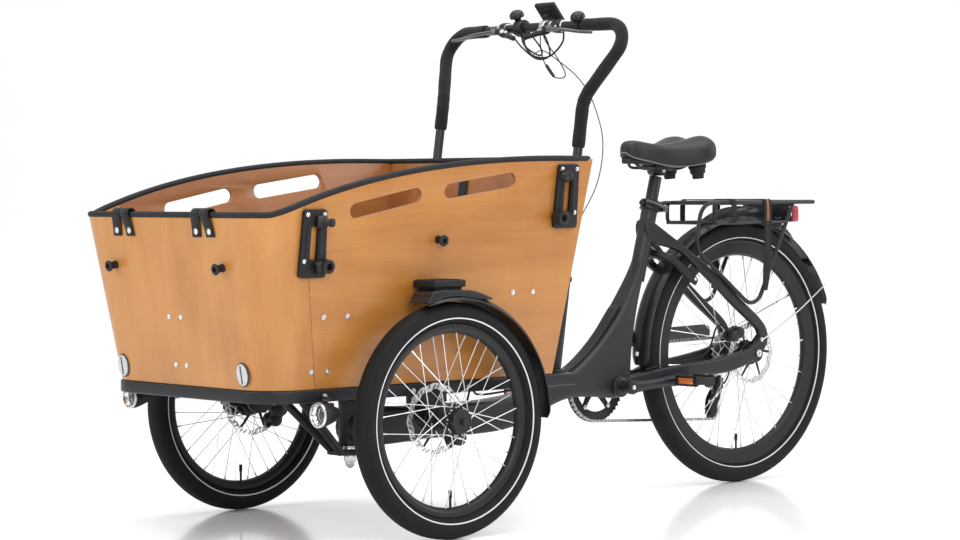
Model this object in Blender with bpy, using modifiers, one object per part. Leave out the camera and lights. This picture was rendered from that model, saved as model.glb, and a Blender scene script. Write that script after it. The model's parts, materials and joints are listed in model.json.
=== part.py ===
"""Front-loading cargo tricycle, modelled at rest in metres, +X forward, +Y to the rider's left, +Z up.

Everything is drawn with its origin on the ground below the front axle, and hangs from the empty
bike_origin, which moves the whole tricycle so that its bounding box is centred on the world's X and Y.
"""

import math

import bmesh
import bpy
from mathutils import Matrix, Vector

# ---------------------------------------------------------------- driving dimensions, in metres
CENTRE_TO_FRONT_AXLE = 0.5669
WHEELBASE = 1.284
TRACK = 0.764
FRONT_TYRE_R = 0.256
REAR_TYRE_R = 0.332
TYRE_WIDTH = 0.053
GAP = 0.0004

# wheels
ROUND_STEPS = 36
FRONT_RIM = (0.187, 0.206)
REAR_RIM = (0.246, 0.284)
SPOKES = 36
SPOKE_R = 0.0012
ROTOR_R = 0.080
FRONT_ROTOR_Y = 0.3335

# cargo box
BOX_BOTTOM = 0.3345
PANEL = 0.010
FRONT_FOOT_X = 0.425
REAR_FOOT_X = -0.373
END_LEAN = 0.153
FOOT_HALF_WIDTH = 0.302
SIDE_LEAN = 0.12
CORNER_R = 0.090
SEAM_BACK = 0.122
TRIM_R = 0.006
RIM_CURVE = ((0.44, 0.709), (0.40, 0.712), (0.18, 0.835), (-0.40, 0.827))
SLOT_R = 0.018
SLOTS = (((0.224, 0.709), (0.065, 0.740)), ((-0.032, 0.749), (-0.201, 0.772)))

# chassis and steering head
CHASSIS_Z = (0.307, 0.334)
CHASSIS_REAR_X = -0.442
RAIL = 0.030
KINGPIN_X = -0.028
KINGPIN_R = 0.009
HEAD_TUBE_Z = (0.176, 0.280)
BEARING_H = 0.009
LOWER_PLATE_Z = (0.1555, 0.1662)

# rear frame
SEAT_AXIS_TOP = Vector((-0.984, 0.0, 0.722))
SEAT_AXIS = Vector((-0.27, 0.0, 1.0)).normalized()
SEAT_TUBE_R = 0.020
SEATPOST_R = 0.0136
BRACKET = Vector((-0.839, 0.0, 0.268))
FRAME_HALF_WIDTH = 0.034
DROPOUT_Y = 0.0675
STAY_THICK = 0.018
REAR_AXLE = Vector((-WHEELBASE, 0.0, REAR_TYRE_R))

# drive train
CHAIN_Y = -0.048
CHAINRING_R = 0.0895
COG_R = 0.0366
PULLEY_R = 0.0225
GUIDE_PULLEY = (-1.266, 0.250)
TENSION_PULLEY = (-1.243, 0.182)
CHAIN_HALF = 0.0038
CRANK_LENGTH = 0.165
CRANK_RISE = math.radians(4)
PEDAL_Y = 0.132

# handlebar
POST_Y = 0.250
POST_FOOT = Vector((-0.425, POST_Y, 0.334))
POST_BEND = Vector((-0.521, POST_Y, 0.960))
BAR_CORNER = Vector((-0.612, 0.338, 1.134))
BAR_MIDDLE = Vector((-0.580, 0.0, 1.136))
BAR_R = 0.011
BAR_BEND_R = 0.054
SLEEVE_FOOT = {1: 0.82, -1: 0.90}
GRIP_R = 0.015
SOCKET_TOP_Z = 0.560

# saddle
SADDLE_Z = (0.824, 0.876)

# ---------------------------------------------------------------- scene and materials
for old in list(bpy.data.objects):
    bpy.data.objects.remove(old)


def new_collection(name):
    group = bpy.data.collections.new(name)
    bpy.context.scene.collection.children.link(group)
    return group


PARTS = new_collection("cargo_tricycle")
CUTTERS = new_collection("cutters")
ORIGIN = bpy.data.objects.new("bike_origin", None)
ORIGIN.location = (CENTRE_TO_FRONT_AXLE, 0, 0)
PARTS.objects.link(ORIGIN)


def material(name, colour, roughness, metallic=0.0):
    made = bpy.data.materials.new(name)
    made.use_nodes = True
    shader = made.node_tree.nodes["Principled BSDF"]
    shader.inputs["Base Color"].default_value = (*colour, 1)
    shader.inputs["Roughness"].default_value = roughness
    shader.inputs["Metallic"].default_value = metallic
    return made


FRAME_PAINT = material("frame_paint", (0.045, 0.047, 0.052), 0.55)
BLACK_PAINT = material("black_paint", (0.012, 0.012, 0.013), 0.45)
BLACK_PLASTIC = material("black_plastic", (0.02, 0.02, 0.022), 0.5)
PLYWOOD = material("plywood", (0.60, 0.29, 0.10), 0.42)
TRIM_RUBBER = material("trim_rubber", (0.03, 0.03, 0.033), 0.6)
FOAM = material("foam", (0.018, 0.018, 0.018), 0.9)
TYRE_RUBBER = material("tyre_rubber", (0.022, 0.022, 0.023), 0.8)
RIM_BLACK = material("rim_black", (0.03, 0.03, 0.032), 0.4)
STEEL = material("steel", (0.62, 0.62, 0.64), 0.3, 1.0)
ALLOY = material("alloy", (0.55, 0.56, 0.58), 0.35, 1.0)
SADDLE_SKIN = material("saddle_skin", (0.03, 0.03, 0.034), 0.5)
RED_LENS = material("red_lens", (0.45, 0.01, 0.03), 0.2)


# ---------------------------------------------------------------- building blocks
def place(obj, group, mat=None):
    """Puts an object in a collection, hangs it from the origin empty and gives it a material."""
    group.objects.link(obj)
    obj.parent = ORIGIN
    if mat is not None:
        obj.data.materials.append(mat)
    if group is CUTTERS:
        obj.hide_render = True
        obj.display_type = "WIRE"
    return obj


def mesh_object(name, bm, group, mat=None):
    mesh = bpy.data.meshes.new(name)
    bm.normal_update()
    bmesh.ops.recalc_face_normals(bm, faces=bm.faces[:])
    bm.to_mesh(mesh)
    bm.free()
    mesh.shade_smooth()
    mesh.set_sharp_from_angle(angle=math.radians(40))
    return place(bpy.data.objects.new(name, mesh), group, mat)


def block(name, low, high, group=CUTTERS, mat=None, matrix=None):
    """A box between two corners, then moved by matrix."""
    bm = bmesh.new()
    bmesh.ops.create_cube(bm, size=1)
    low, high = Vector(low), Vector(high)
    fit = Matrix.LocRotScale((low + high) / 2, None, high - low)
    bm.transform(matrix @ fit if matrix else fit)
    return mesh_object(name, bm, group, mat)


def rod(name, start, end, radius, group=CUTTERS, mat=None, sides=12, end_radius=None):
    """A cylinder, or a cone, from start to end."""
    start, end = Vector(start), Vector(end)
    bm = bmesh.new()
    bmesh.ops.create_cone(
        bm, cap_ends=True, segments=sides, depth=(end - start).length,
        radius1=radius, radius2=radius if end_radius is None else end_radius,
    )
    turn = (end - start).to_track_quat("Z", "Y")
    bm.transform(Matrix.LocRotScale((start + end) / 2, turn, None))
    return mesh_object(name, bm, group, mat)


def as_mesh(curve, matrix, name, group, mat=None):
    """An object of the mesh that a curve makes, moved by matrix, its caps welded to its sides."""
    drawn = bpy.data.objects.new(name, curve)
    mesh = bpy.data.meshes.new_from_object(drawn)
    bm = bmesh.new()
    bm.from_mesh(mesh)
    bmesh.ops.remove_doubles(bm, verts=bm.verts[:], dist=1e-5)
    bm.transform(matrix)
    bpy.data.objects.remove(drawn)
    bpy.data.meshes.remove(mesh)
    return mesh_object(name, bm, group, mat)


def tube(name, points, radius, group=CUTTERS, mat=None, sides=8, closed=False):
    """A round tube along a polyline. sides is even."""
    data = bpy.data.curves.new(name, "CURVE")
    data.dimensions = "3D"
    data.bevel_depth = radius
    data.bevel_resolution = (sides - 4) // 2
    data.use_fill_caps = True
    spline = data.splines.new("POLY")
    spline.points.add(len(points) - 1)
    for corner, point in zip(spline.points, points):
        corner.co = (*point, 1)
    spline.use_cyclic_u = closed
    return as_mesh(data, Matrix.Identity(4), name, group, mat)


def plate(name, loops, thickness, matrix, group=CUTTERS, mat=None):
    """A flat sheet: loops[0] is its outline and the rest are holes, in the plane of matrix's X and Y."""
    data = bpy.data.curves.new(name, "CURVE")
    data.dimensions = "2D"
    data.fill_mode = "BOTH"
    data.extrude = thickness / 2
    for loop in loops:
        spline = data.splines.new("POLY")
        spline.points.add(len(loop) - 1)
        for corner, point in zip(spline.points, loop):
            corner.co = (point[0], point[1], 0, 1)
        spline.use_cyclic_u = True
    return as_mesh(data, matrix, name, group, mat)


def side_plane(y):
    """The matrix of a plate drawn as (x, z) and standing at this y."""
    return Matrix.Translation((0, y, 0)) @ Matrix.Rotation(math.pi / 2, 4, "X")


def turned(name, profile, centre, group=CUTTERS, mat=None, steps=ROUND_STEPS, arc=2 * math.pi,
           start=0.0, thickness=None):
    """A profile of (radius, y) points turned round the Y axis through centre.

    A closed profile runs down its outer side. An open one gets a thickness, and may sweep only an arc.
    """
    bm = bmesh.new()
    corners = [bm.verts.new((r, 0, y)) for r, y in profile]
    for a, b in zip(corners, corners[1:]):
        bm.edges.new((a, b))
    if thickness is None:
        bm.edges.new((corners[-1], corners[0]))
    mesh = bpy.data.meshes.new(name)
    bm.to_mesh(mesh)
    bm.free()
    made = place(bpy.data.objects.new(name, mesh), group, mat)
    made.location = centre
    made.rotation_mode = "XYZ"
    made.rotation_euler = (-math.pi / 2, -start, 0)
    screw = made.modifiers.new("turn", "SCREW")
    screw.steps = screw.render_steps = steps
    screw.angle = arc
    screw.use_merge_vertices = arc > 6.28
    screw.merge_threshold = 0.00005
    screw.use_normal_calculate = True
    if thickness is not None:
        shell = made.modifiers.new("wall", "SOLIDIFY")
        shell.thickness = thickness
        shell.offset = 1
    return made


def combine(name, pieces, mat, cuts=()):
    """One solid named name: the pieces joined, less the cuts."""
    first = pieces[0]
    CUTTERS.objects.unlink(first)
    PARTS.objects.link(first)
    first.name = name
    first.hide_render = False
    first.display_type = "TEXTURED"
    first.data.materials.clear()
    first.data.materials.append(mat)
    for word, operation, others in (("join", "UNION", pieces[1:]), ("cut", "DIFFERENCE", cuts)):
        if not others:
            continue
        group = bpy.data.collections.new(f"{name}_{word}")
        CUTTERS.children.link(group)
        for other in others:
            CUTTERS.objects.unlink(other)
            group.objects.link(other)
        step = first.modifiers.new(word, "BOOLEAN")
        step.operation = operation
        step.operand_type = "COLLECTION"
        step.collection = group
        step.solver = "EXACT"
    return first


def mirrored(point, side):
    return Vector((point[0], side * point[1], point[2]))


def circle(centre, radius, count, start=0.0, turn=2 * math.pi):
    """Points on a circle, or on an arc of it, where both ends are included."""
    parts = count if abs(turn) > 6.28 else count - 1
    return [
        (centre[0] + radius * math.cos(start + turn * i / parts),
         centre[1] + radius * math.sin(start + turn * i / parts))
        for i in range(count)
    ]


def rounded(points, radii, count=5):
    """A 3D polyline whose inner corners are arcs of these radii."""
    points = [Vector(p) for p in points]
    out = [points[0]]
    for before, corner, after, radius in zip(points, points[1:], points[2:], radii):
        a, b = (before - corner).normalized(), (after - corner).normalized()
        half = a.angle(b) / 2
        reach = radius / math.tan(half)
        middle = corner + (a + b).normalized() * radius / math.sin(half)
        first, last = corner + a * reach - middle, corner + b * reach - middle
        for i in range(count):
            out.append(middle + first.slerp(last, i / (count - 1)).normalized() * radius)
    return out + [points[-1]]


def smooth_loop(points, per_span):
    """A closed Catmull-Rom outline through 2D points."""
    count, out = len(points), []
    for i in range(count):
        p0, p1, p2, p3 = (Vector(points[(i + k - 1) % count]) for k in range(4))
        for j in range(per_span):
            t = j / per_span
            out.append(0.5 * (
                2 * p1 + (p2 - p0) * t + (2 * p0 - 5 * p1 + 4 * p2 - p3) * t * t
                + (3 * p1 - p0 - 3 * p2 + p3) * t ** 3
            ))
    return out


# ---------------------------------------------------------------- wheels
def tyre(name, centre, radius, bead_radius):
    """Eight-sided section whose flats, not its corners, reach the rolling radius."""
    half = TYRE_WIDTH / 2
    tread = radius / math.cos(math.pi / ROUND_STEPS)
    middle = (tread + bead_radius) / 2
    profile = [
        (tread, 0.006), (tread, -0.006), (tread - 0.008, -0.019), (middle, -half),
        (bead_radius, -0.012), (bead_radius, 0.012), (middle, half), (tread - 0.008, 0.019),
    ]
    flat_down = math.pi / ROUND_STEPS
    return turned(name, profile, centre, PARTS, TYRE_RUBBER, start=flat_down)


def laced_rim(name, centre, rim, flange_y, flange_r, stagger=0.0026):
    """The rim with its spokes, which stop just short of the hub's flanges at the two flange_y values."""
    inner, outer = rim
    profile = [(outer, 0.0125), (outer, -0.0125), (inner + 0.007, -0.011), (inner, 0), (inner + 0.007, 0.011)]
    ring = turned(name, profile, centre, start=math.pi / ROUND_STEPS)
    spokes = []
    for i in range(SPOKES):
        rim_angle = 2 * math.pi * i / SPOKES
        flange = flange_y[i % 2]
        lead = math.radians(52) if i % 4 < 2 else -math.radians(52)
        hub_angle = rim_angle + lead
        elbow = flange + (stagger if lead > 0 else -stagger)
        start = Vector((flange_r * math.cos(hub_angle), elbow, flange_r * math.sin(hub_angle)))
        reach = inner + 0.004
        end = Vector((reach * math.cos(rim_angle), 0.15 * flange, reach * math.sin(rim_angle)))
        spokes.append(rod(f"{name}_spoke", centre + start, centre + end, SPOKE_R, sides=3))
    return combine(name, [ring, *spokes], RIM_BLACK)


def rotor(name, y, centre):
    """A brake disc: an outer braking ring on five arms."""
    windows = []
    for i in range(5):
        start = 2 * math.pi * i / 5
        span = math.radians(56)
        outer = circle((0, 0), ROTOR_R - 0.016, 5, start, span)
        inner = circle((0, 0), 0.032, 3, start + span - 0.1, -(span - 0.2))
        windows.append(outer + inner)
    rim_loop = circle((0, 0), ROTOR_R, 30)
    bore = circle((0, 0), 0.0175, 12)
    matrix = Matrix.Translation((centre[0], y, centre[2])) @ Matrix.Rotation(math.pi / 2, 4, "X")
    return plate(name, [rim_loop, bore, *windows], 0.002, matrix, PARTS, STEEL)


def front_wheel(side, word):
    """Tyre, laced rim, hub and brake disc of one front wheel. The disc is on the inboard side."""
    centre = Vector((0, side * TRACK / 2, FRONT_TYRE_R))
    tyre(f"{word}_tyre", centre, FRONT_TYRE_R, FRONT_RIM[1] + GAP)
    laced_rim(f"{word}_rim", centre, FRONT_RIM, (-side * 0.026, side * 0.026), 0.0262)
    inboard, outboard = -0.046, 0.048
    profile = [
        (0.0165, outboard), (0.0165, 0.030), (0.0240, 0.0285), (0.0240, 0.0235), (0.0150, 0.021),
        (0.0150, -0.021), (0.0240, -0.0235), (0.0240, -0.0285), (0.0165, -0.031), (0.0165, inboard),
        (0.0066, inboard), (0.0066, outboard),
    ]
    if side < 0:
        profile = [(r, -y) for r, y in reversed(profile)]
    turned(f"{word}_hub", profile, centre, PARTS, BLACK_PAINT, steps=20)
    rotor(f"{word}_rotor", side * FRONT_ROTOR_Y, centre)


def rear_wheel():
    tyre("rear_tyre", REAR_AXLE, REAR_TYRE_R, REAR_RIM[1] + GAP)
    laced_rim("rear_rim", REAR_AXLE, REAR_RIM, (-0.021, 0.033), 0.0322)
    profile = [
        (0.0165, 0.0555), (0.0165, 0.038), (0.0300, 0.0355), (0.0300, 0.0305), (0.0220, 0.027),
        (0.0220, -0.016), (0.0300, -0.0185), (0.0300, -0.0235), (0.0200, -0.0265),
        (0.0056, -0.0265), (0.0056, 0.0555),
    ]
    turned("rear_hub", profile, REAR_AXLE, PARTS, BLACK_PAINT, steps=20)
    rotor("rear_rotor", 0.0525, REAR_AXLE)
    rod("rear_axle", REAR_AXLE + Vector((0, -0.088, 0)), REAR_AXLE + Vector((0, 0.088, 0)),
        0.005, PARTS, STEEL)


# ---------------------------------------------------------------- cargo box
def front_x(z):
    return FRONT_FOOT_X + END_LEAN * (z - BOX_BOTTOM)


def rear_x(z):
    return REAR_FOOT_X - END_LEAN * (z - BOX_BOTTOM)


def half_width(z):
    return FOOT_HALF_WIDTH + SIDE_LEAN * (z - BOX_BOTTOM)


def rim_z(x):
    """Height of the box's rim at x: level at both ends, with one S-shaped rise between them."""
    (x0, z0), (x1, z1), (x2, z2), (x3, z3) = RIM_CURVE
    if x >= x0:
        return z0
    if x <= x3:
        return z3
    low, high = 0.0, 1.0
    for _ in range(30):
        t = (low + high) / 2
        at = x0 * (1 - t) ** 3 + 3 * x1 * t * (1 - t) ** 2 + 3 * x2 * t * t * (1 - t) + x3 * t ** 3
        low, high = (t, high) if at > x else (low, t)
    return z0 * (1 - t) ** 3 + 3 * z1 * t * (1 - t) ** 2 + 3 * z2 * t * t * (1 - t) + z3 * t ** 3


def corner_outline(z, inset=0.0):
    """The front panel's plan at height z, from the left seam round to the right one."""
    front, half, radius = front_x(z) - inset, half_width(z) - inset, CORNER_R - inset
    left = [(front - SEAM_BACK + inset, half)]
    left += [
        (front - radius + radius * math.sin(a), half - radius + radius * math.cos(a))
        for a in (math.pi / 2 * i / 6 for i in range(7))
    ]
    return left + [(x, -y) for x, y in reversed(left)]


def column_top(index, drop, inset=0.0):
    """Where one upright line of the front panel meets the rim, less drop."""
    z = rim_z(FRONT_FOOT_X)
    for _ in range(4):
        x, y = corner_outline(z, inset)[index]
        z = rim_z(x) - drop
    x, y = corner_outline(z, inset)[index]
    return Vector((x, y, z))


PANEL_DROP = 2 * TRIM_R + 0.001


def front_panel():
    """The bent plywood front: one sheet that turns both corners and ends at the seams."""
    bm = bmesh.new()
    foot = [Vector((x, y, BOX_BOTTOM)) for x, y in corner_outline(BOX_BOTTOM)]
    low = [bm.verts.new(p) for p in foot]
    high = [bm.verts.new(column_top(i, PANEL_DROP)) for i in range(len(foot))]
    for i in range(len(foot) - 1):
        bm.faces.new((low[i], high[i], high[i + 1], low[i + 1]))
    made = mesh_object("box_front_panel", bm, PARTS, PLYWOOD)
    wall = made.modifiers.new("wall", "SOLIDIFY")
    wall.thickness = PANEL
    wall.offset = -1
    wall.use_even_offset = True
    return made


def side_frame(side, depth=0.0):
    """The plane of a side panel. Its X is the bike's X, its Y climbs the panel from the foot,
    and depth moves it inwards from the outer face."""
    lean = math.atan(SIDE_LEAN)
    outward = Vector((0, side * math.cos(lean), -math.sin(lean)))
    up = Vector((0, side * math.sin(lean), math.cos(lean)))
    origin = Vector((0, side * FOOT_HALF_WIDTH, BOX_BOTTOM)) - outward * depth
    matrix = Matrix.Identity(4)
    matrix.col[0][:3] = (1, 0, 0)
    matrix.col[1][:3] = up
    matrix.col[2][:3] = Vector((1, 0, 0)).cross(up)
    matrix.col[3][:3] = origin
    return matrix


def climb(z):
    """Distance up a side panel's face to height z."""
    return (z - BOX_BOTTOM) / math.cos(math.atan(SIDE_LEAN))


def slot_loop(start, end, radius):
    (x0, z0), (x1, z1) = start, end
    a = math.atan2(climb(z1) - climb(z0), x1 - x0)
    first = circle((x1, climb(z1)), radius, 6, a - math.pi / 2, math.pi)
    return first + circle((x0, climb(z0)), radius, 6, a + math.pi / 2, math.pi)


def side_panel(side, word):
    """One plywood side with its two hand slots and the cleat that carries the bench."""
    top = rim_z(REAR_FOOT_X) - PANEL_DROP
    seam_low = (front_x(BOX_BOTTOM) - SEAM_BACK - GAP, BOX_BOTTOM)
    seam_top = column_top(0, PANEL_DROP)
    outline = [(REAR_FOOT_X, BOX_BOTTOM), seam_low, (seam_top.x - GAP, seam_top.z)]
    for i in range(1, 14):
        x = seam_top.x + (RIM_CURVE[3][0] - seam_top.x) * i / 14
        outline.append((x, rim_z(x) - PANEL_DROP))
    outline += [(RIM_CURVE[3][0], top), (rear_x(top), top)]
    loops = [[(x, climb(z)) for x, z in outline]]
    loops += [slot_loop(a, b, SLOT_R) for a, b in SLOTS]
    sheet = plate(f"box_{word}_panel", loops, PANEL, side_frame(side, PANEL / 2))
    cleat = block("cleat", (-0.33, climb(0.507), -0.009), (-0.17, climb(0.5312), 0.009),
                  matrix=side_frame(side, PANEL + 0.008))
    return combine(f"box_{word}_panel", [sheet, cleat], PLYWOOD)


def rear_panel():
    """The leaning rear wall, let in between the two sides."""
    lean = math.atan(END_LEAN)
    top = rim_z(rear_x(0.8)) - PANEL_DROP
    inner = PANEL / math.cos(math.atan(SIDE_LEAN)) + GAP
    bottom = BOX_BOTTOM + 0.0003
    height = (top - bottom) / math.cos(lean)
    outline = [
        (-(half_width(bottom) - inner), 0), (half_width(bottom) - inner, 0),
        (half_width(top) - inner, height), (-(half_width(top) - inner), height),
    ]
    matrix = Matrix.Identity(4)
    up = Vector((-math.sin(lean), 0, math.cos(lean)))
    matrix.col[0][:3] = (0, 1, 0)
    matrix.col[1][:3] = up
    matrix.col[2][:3] = Vector((0, 1, 0)).cross(up)
    matrix.col[3][:3] = (rear_x(bottom) + PANEL / 2 + 0.001, 0, bottom)
    return plate("box_rear_panel", [outline], PANEL, matrix, PARTS, PLYWOOD)


def floor_panel():
    thick = 0.012
    inset = PANEL + 0.002
    arc = corner_outline(BOX_BOTTOM, inset)
    rear = rear_x(BOX_BOTTOM) + inset + 0.003
    loop = [*arc, (rear, arc[-1][1]), (rear, arc[0][1])]
    matrix = Matrix.Translation((0, 0, BOX_BOTTOM + thick / 2 + 0.0003))
    return plate("box_floor", [loop], thick, matrix, PARTS, PLYWOOD)


def trim_path():
    """The line along the middle of the panels' top edges, closed round the box."""
    inset = PANEL / 2
    arc = [column_top(i, TRIM_R, inset) for i in range(len(corner_outline(BOX_BOTTOM)))]
    side = []
    for i in range(1, 12):
        x = arc[0].x + (RIM_CURVE[3][0] - arc[0].x) * i / 12
        z = rim_z(x) - TRIM_R
        side.append(Vector((x, half_width(z) - inset, z)))
    z = rim_z(RIM_CURVE[3][0]) - TRIM_R
    corner = Vector((rear_x(z) + inset, half_width(z) - inset, z))
    right = [mirrored(p, -1) for p in (*side, corner)]
    return [*arc, *right, corner, *reversed(side)]


def bench():
    """The folding seat board, hinged on the rear wall and resting on the side cleats."""
    low, high = BENCH_HINGE[2] - 0.006, BENCH_HINGE[2] + 0.006
    board = block("bench_seat", (BENCH_HINGE[0] + 0.006, -0.308, low), (-0.145, 0.308, high))
    barrels = [
        rod("barrel", (BENCH_HINGE[0], y - 0.035, BENCH_HINGE[2]), (BENCH_HINGE[0], y + 0.035, BENCH_HINGE[2]),
            0.0055, sides=10)
        for y in (-0.19, 0.19)
    ]
    leaves = [
        block("leaf", (BENCH_HINGE[0], y - 0.034, BENCH_HINGE[2] - 0.002),
              (BENCH_HINGE[0] + 0.04, y + 0.034, BENCH_HINGE[2] + 0.002))
        for y in (-0.19, 0.19)
    ]
    return combine("bench_seat", [board, *barrels, *leaves], PLYWOOD)


BENCH_HINGE = (-0.382, 0.0, 0.541)


def tent_bracket(name, side, x, z, lean):
    """A moulded holder for a tent pole: a windowed back plate with two pole sockets."""
    frame = side_frame(side, -0.0003 - 0.005)
    base = climb(z)
    foot, head, tall = 0.038, 0.025, 0.072
    outline = [(x - foot, base - tall), (x + foot, base - tall),
               (x + head + lean, base + tall), (x - head + lean, base + tall)]
    window = [(x - 0.008, base - 0.038), (x + 0.012, base - 0.038),
              (x + 0.010 + lean, base + 0.034), (x - 0.008 + lean, base + 0.034)]
    back = plate(name, [outline, window], 0.010, frame)
    out = frame.col[2].to_3d() * (-1 if side > 0 else 1)
    pieces = [back]
    for dx, dy in ((lean * 1.2, 0.050), (-lean * 1.2, -0.054)):
        root = frame @ Vector((x + dx, base + dy, 0))
        pieces.append(rod("socket", root, root + out * 0.030, 0.013, sides=10))
    return combine(name, pieces, BLACK_PLASTIC)


# ---------------------------------------------------------------- front chassis
def chassis():
    """The black under-frame: a rail round the box's foot, the axle beam, the steering head's two
    plates with their braces, the stub axles and the sockets for the handlebar."""
    low, high = CHASSIS_Z
    middle = (low + high) / 2
    outer = corner_outline(BOX_BOTTOM, -0.004)
    inner = corner_outline(BOX_BOTTOM, RAIL)
    outer += [(CHASSIS_REAR_X, outer[-1][1]), (CHASSIS_REAR_X, outer[0][1])]
    inner += [(CHASSIS_REAR_X + 0.055, inner[-1][1]), (CHASSIS_REAR_X + 0.055, inner[0][1])]
    rail = plate("front_chassis", [outer, inner], high - low, Matrix.Translation((0, 0, middle)))
    pieces = [rail]
    edge = FOOT_HALF_WIDTH - 0.01
    for x, half in ((0.0, 0.022), (0.175, 0.018), (-0.20, 0.015)):
        pieces.append(block("cross_member", (x - half, -edge, low + 0.002), (x + half, edge, high - 0.002)))
    plate_z = HEAD_TUBE_Z[1] + BEARING_H + 2 * GAP
    pieces.append(block("upper_plate", (KINGPIN_X - 0.045, -0.055, plate_z), (0.19, 0.055, low + 0.006)))
    pieces.append(rod("lower_plate", (KINGPIN_X, 0, LOWER_PLATE_Z[0]), (KINGPIN_X, 0, LOWER_PLATE_Z[1]),
                      0.030, sides=16))
    lower_mid = sum(LOWER_PLATE_Z) / 2
    pieces.append(block("lower_tongue", (KINGPIN_X, -0.022, LOWER_PLATE_Z[0]), (0.022, 0.022, LOWER_PLATE_Z[1])))
    for side in (1, -1):
        pieces.append(rod("brace", (0.012, side * 0.013, lower_mid), (0.165, side * 0.042, low + 0.008), 0.0095))
        y = side * 0.3
        pieces.append(block("axle_plate", (-0.055, min(y, y + side * 0.008), 0.228),
                            (0.055, max(y, y + side * 0.008), high - 0.001)))
        pieces.append(rod("axle_boss", (0, side * 0.302, FRONT_TYRE_R), (0, side * 0.328, FRONT_TYRE_R), 0.013))
        pieces.append(rod("stub_axle", (0, side * 0.310, FRONT_TYRE_R), (0, side * 0.436, FRONT_TYRE_R), 0.006))
        foot = mirrored(POST_FOOT, side)
        run = (mirrored(POST_BEND, side) - foot).normalized()
        top = foot + run * ((SOCKET_TOP_Z - foot.z) / run.z)
        pieces.append(rod("post_socket", foot - run * 0.012, top, 0.0155, sides=14))
        lamp = mirrored(LAMP_PIVOT, side)
        pieces.append(tube("lamp_arm", [(0.29, side * 0.295, low + 0.010), (0.300, side * 0.325, low + 0.0095),
                                        lamp + Vector((0, 0, 0.0125))], 0.0045, sides=6))
    hole = rod("kingpin_hole", (KINGPIN_X, 0, 0.10), (KINGPIN_X, 0, 0.40), KINGPIN_R + 0.0006, sides=16)
    cuts = [hole, rod("head_room", (KINGPIN_X, 0, 0.318), (KINGPIN_X, 0, 0.40), 0.020, sides=12)]
    for side in (1, -1):
        foot = mirrored(POST_FOOT, side)
        run = (mirrored(POST_BEND, side) - foot).normalized()
        cuts.append(rod("post_bore", foot + run * 0.08, foot + run * 0.30, BAR_R + 0.0006, sides=14))
    return combine("front_chassis", pieces, BLACK_PAINT, cuts)


LAMP_PIVOT = Vector((0.300, 0.350, 0.303))


def headlight(side, word):
    """A round lamp that tilts on its arm."""
    pivot = mirrored(LAMP_PIVOT, side)
    centre = pivot + Vector((0, 0, -0.018))
    shell = rod("lamp", centre + Vector((-0.020, 0, 0)), centre + Vector((0.016, 0, 0)), 0.014,
                sides=14, end_radius=0.026)
    ring = rod("lamp_ring", centre + Vector((0.014, 0, 0)), centre + Vector((0.034, 0, 0)), 0.026, sides=14)
    foot = block("lamp_lug", pivot + Vector((-0.007, -0.006, -0.016)), pivot + Vector((0.007, 0.006, 0.006)))
    return combine(f"{word}_headlight", [shell, ring, foot], BLACK_PLASTIC)


def steering_head():
    """The kingpin, from its head above the chassis to the nut below, and the two thrust bearings."""
    shaft = rod("kingpin", (KINGPIN_X, 0, 0.122), (KINGPIN_X, 0, 0.320), KINGPIN_R, sides=16)
    head = rod("kingpin_head", (KINGPIN_X, 0, 0.3184), (KINGPIN_X, 0, 0.331), 0.0145, sides=6)
    nut = rod("kingpin_nut", (KINGPIN_X, 0, 0.130), (KINGPIN_X, 0, LOWER_PLATE_Z[0] - GAP), 0.0155, sides=6)
    combine("kingpin", [shaft, head, nut], STEEL)
    low, high = HEAD_TUBE_Z
    for word, z in (("lower", low - BEARING_H - GAP / 2), ("upper", high + GAP)):
        loops = [circle((0, 0), 0.0245, 20), circle((0, 0), KINGPIN_R + 0.0006, 16)]
        matrix = Matrix.Translation((KINGPIN_X, 0, z + BEARING_H / 2))
        plate(f"steering_bearing_{word}", loops, BEARING_H - GAP / 2, matrix, PARTS, STEEL)


STEP_X = (-0.030, 0.058)


def front_mudguard(side, word):
    """An arched guard over the rear upper part of the tyre, with a rubber step on top."""
    y = side * TRACK / 2
    centre = Vector((0, y, FRONT_TYRE_R))
    radius = 0.2725
    profile = [(radius - 0.010, 0.0335), (radius - 0.002, 0.029), (radius, 0.012),
               (radius, -0.012), (radius - 0.002, -0.029), (radius - 0.010, -0.0335)]
    guard = turned(f"{word}_mudguard", profile, centre, steps=16, arc=math.radians(107),
                   start=math.radians(182), thickness=0.003)
    inner = half_width(0.561) + 0.001
    low, high = sorted((side * inner, side * (inner + 0.074)))
    step = block("step", (STEP_X[0], low, 0.524), (STEP_X[1], high, 0.560))
    return combine(f"{word}_mudguard", [guard, step], BLACK_PLASTIC)


# ---------------------------------------------------------------- handlebar
def bar_path():
    """The U-shaped bar from the left socket over the top to the right one."""
    foot = POST_FOOT + (POST_BEND - POST_FOOT).normalized() * 0.085
    left = [foot, POST_BEND, BAR_CORNER, BAR_MIDDLE]
    return [*left, *(mirrored(p, -1) for p in reversed(left[:-1]))]


def handlebar():
    path = rounded(bar_path(), (0.10, BAR_BEND_R, 0.5, BAR_BEND_R, 0.10))
    bar = tube("handlebar", path, BAR_R, sides=12)
    pieces = [bar]
    for side in (1, -1):
        clamp = bar_point(side * 0.095)
        pieces.append(rod("lever_clamp", clamp + Vector((0, -0.009, 0)), clamp + Vector((0, 0.009, 0)), 0.0165))
        pivot = LEVER_PIVOT[side]
        pieces.append(block("lever_perch", (clamp.x, clamp.y - 0.008, clamp.z - 0.010),
                            (pivot.x - 0.009, clamp.y + 0.008, clamp.z - 0.001)))
    stalk = bar_point(DISPLAY_Y)
    pieces.append(rod("display_clamp", stalk + Vector((0, -0.008, 0)), stalk + Vector((0, 0.008, 0)), 0.016))
    return combine("handlebar", pieces, BLACK_PAINT)


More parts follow.
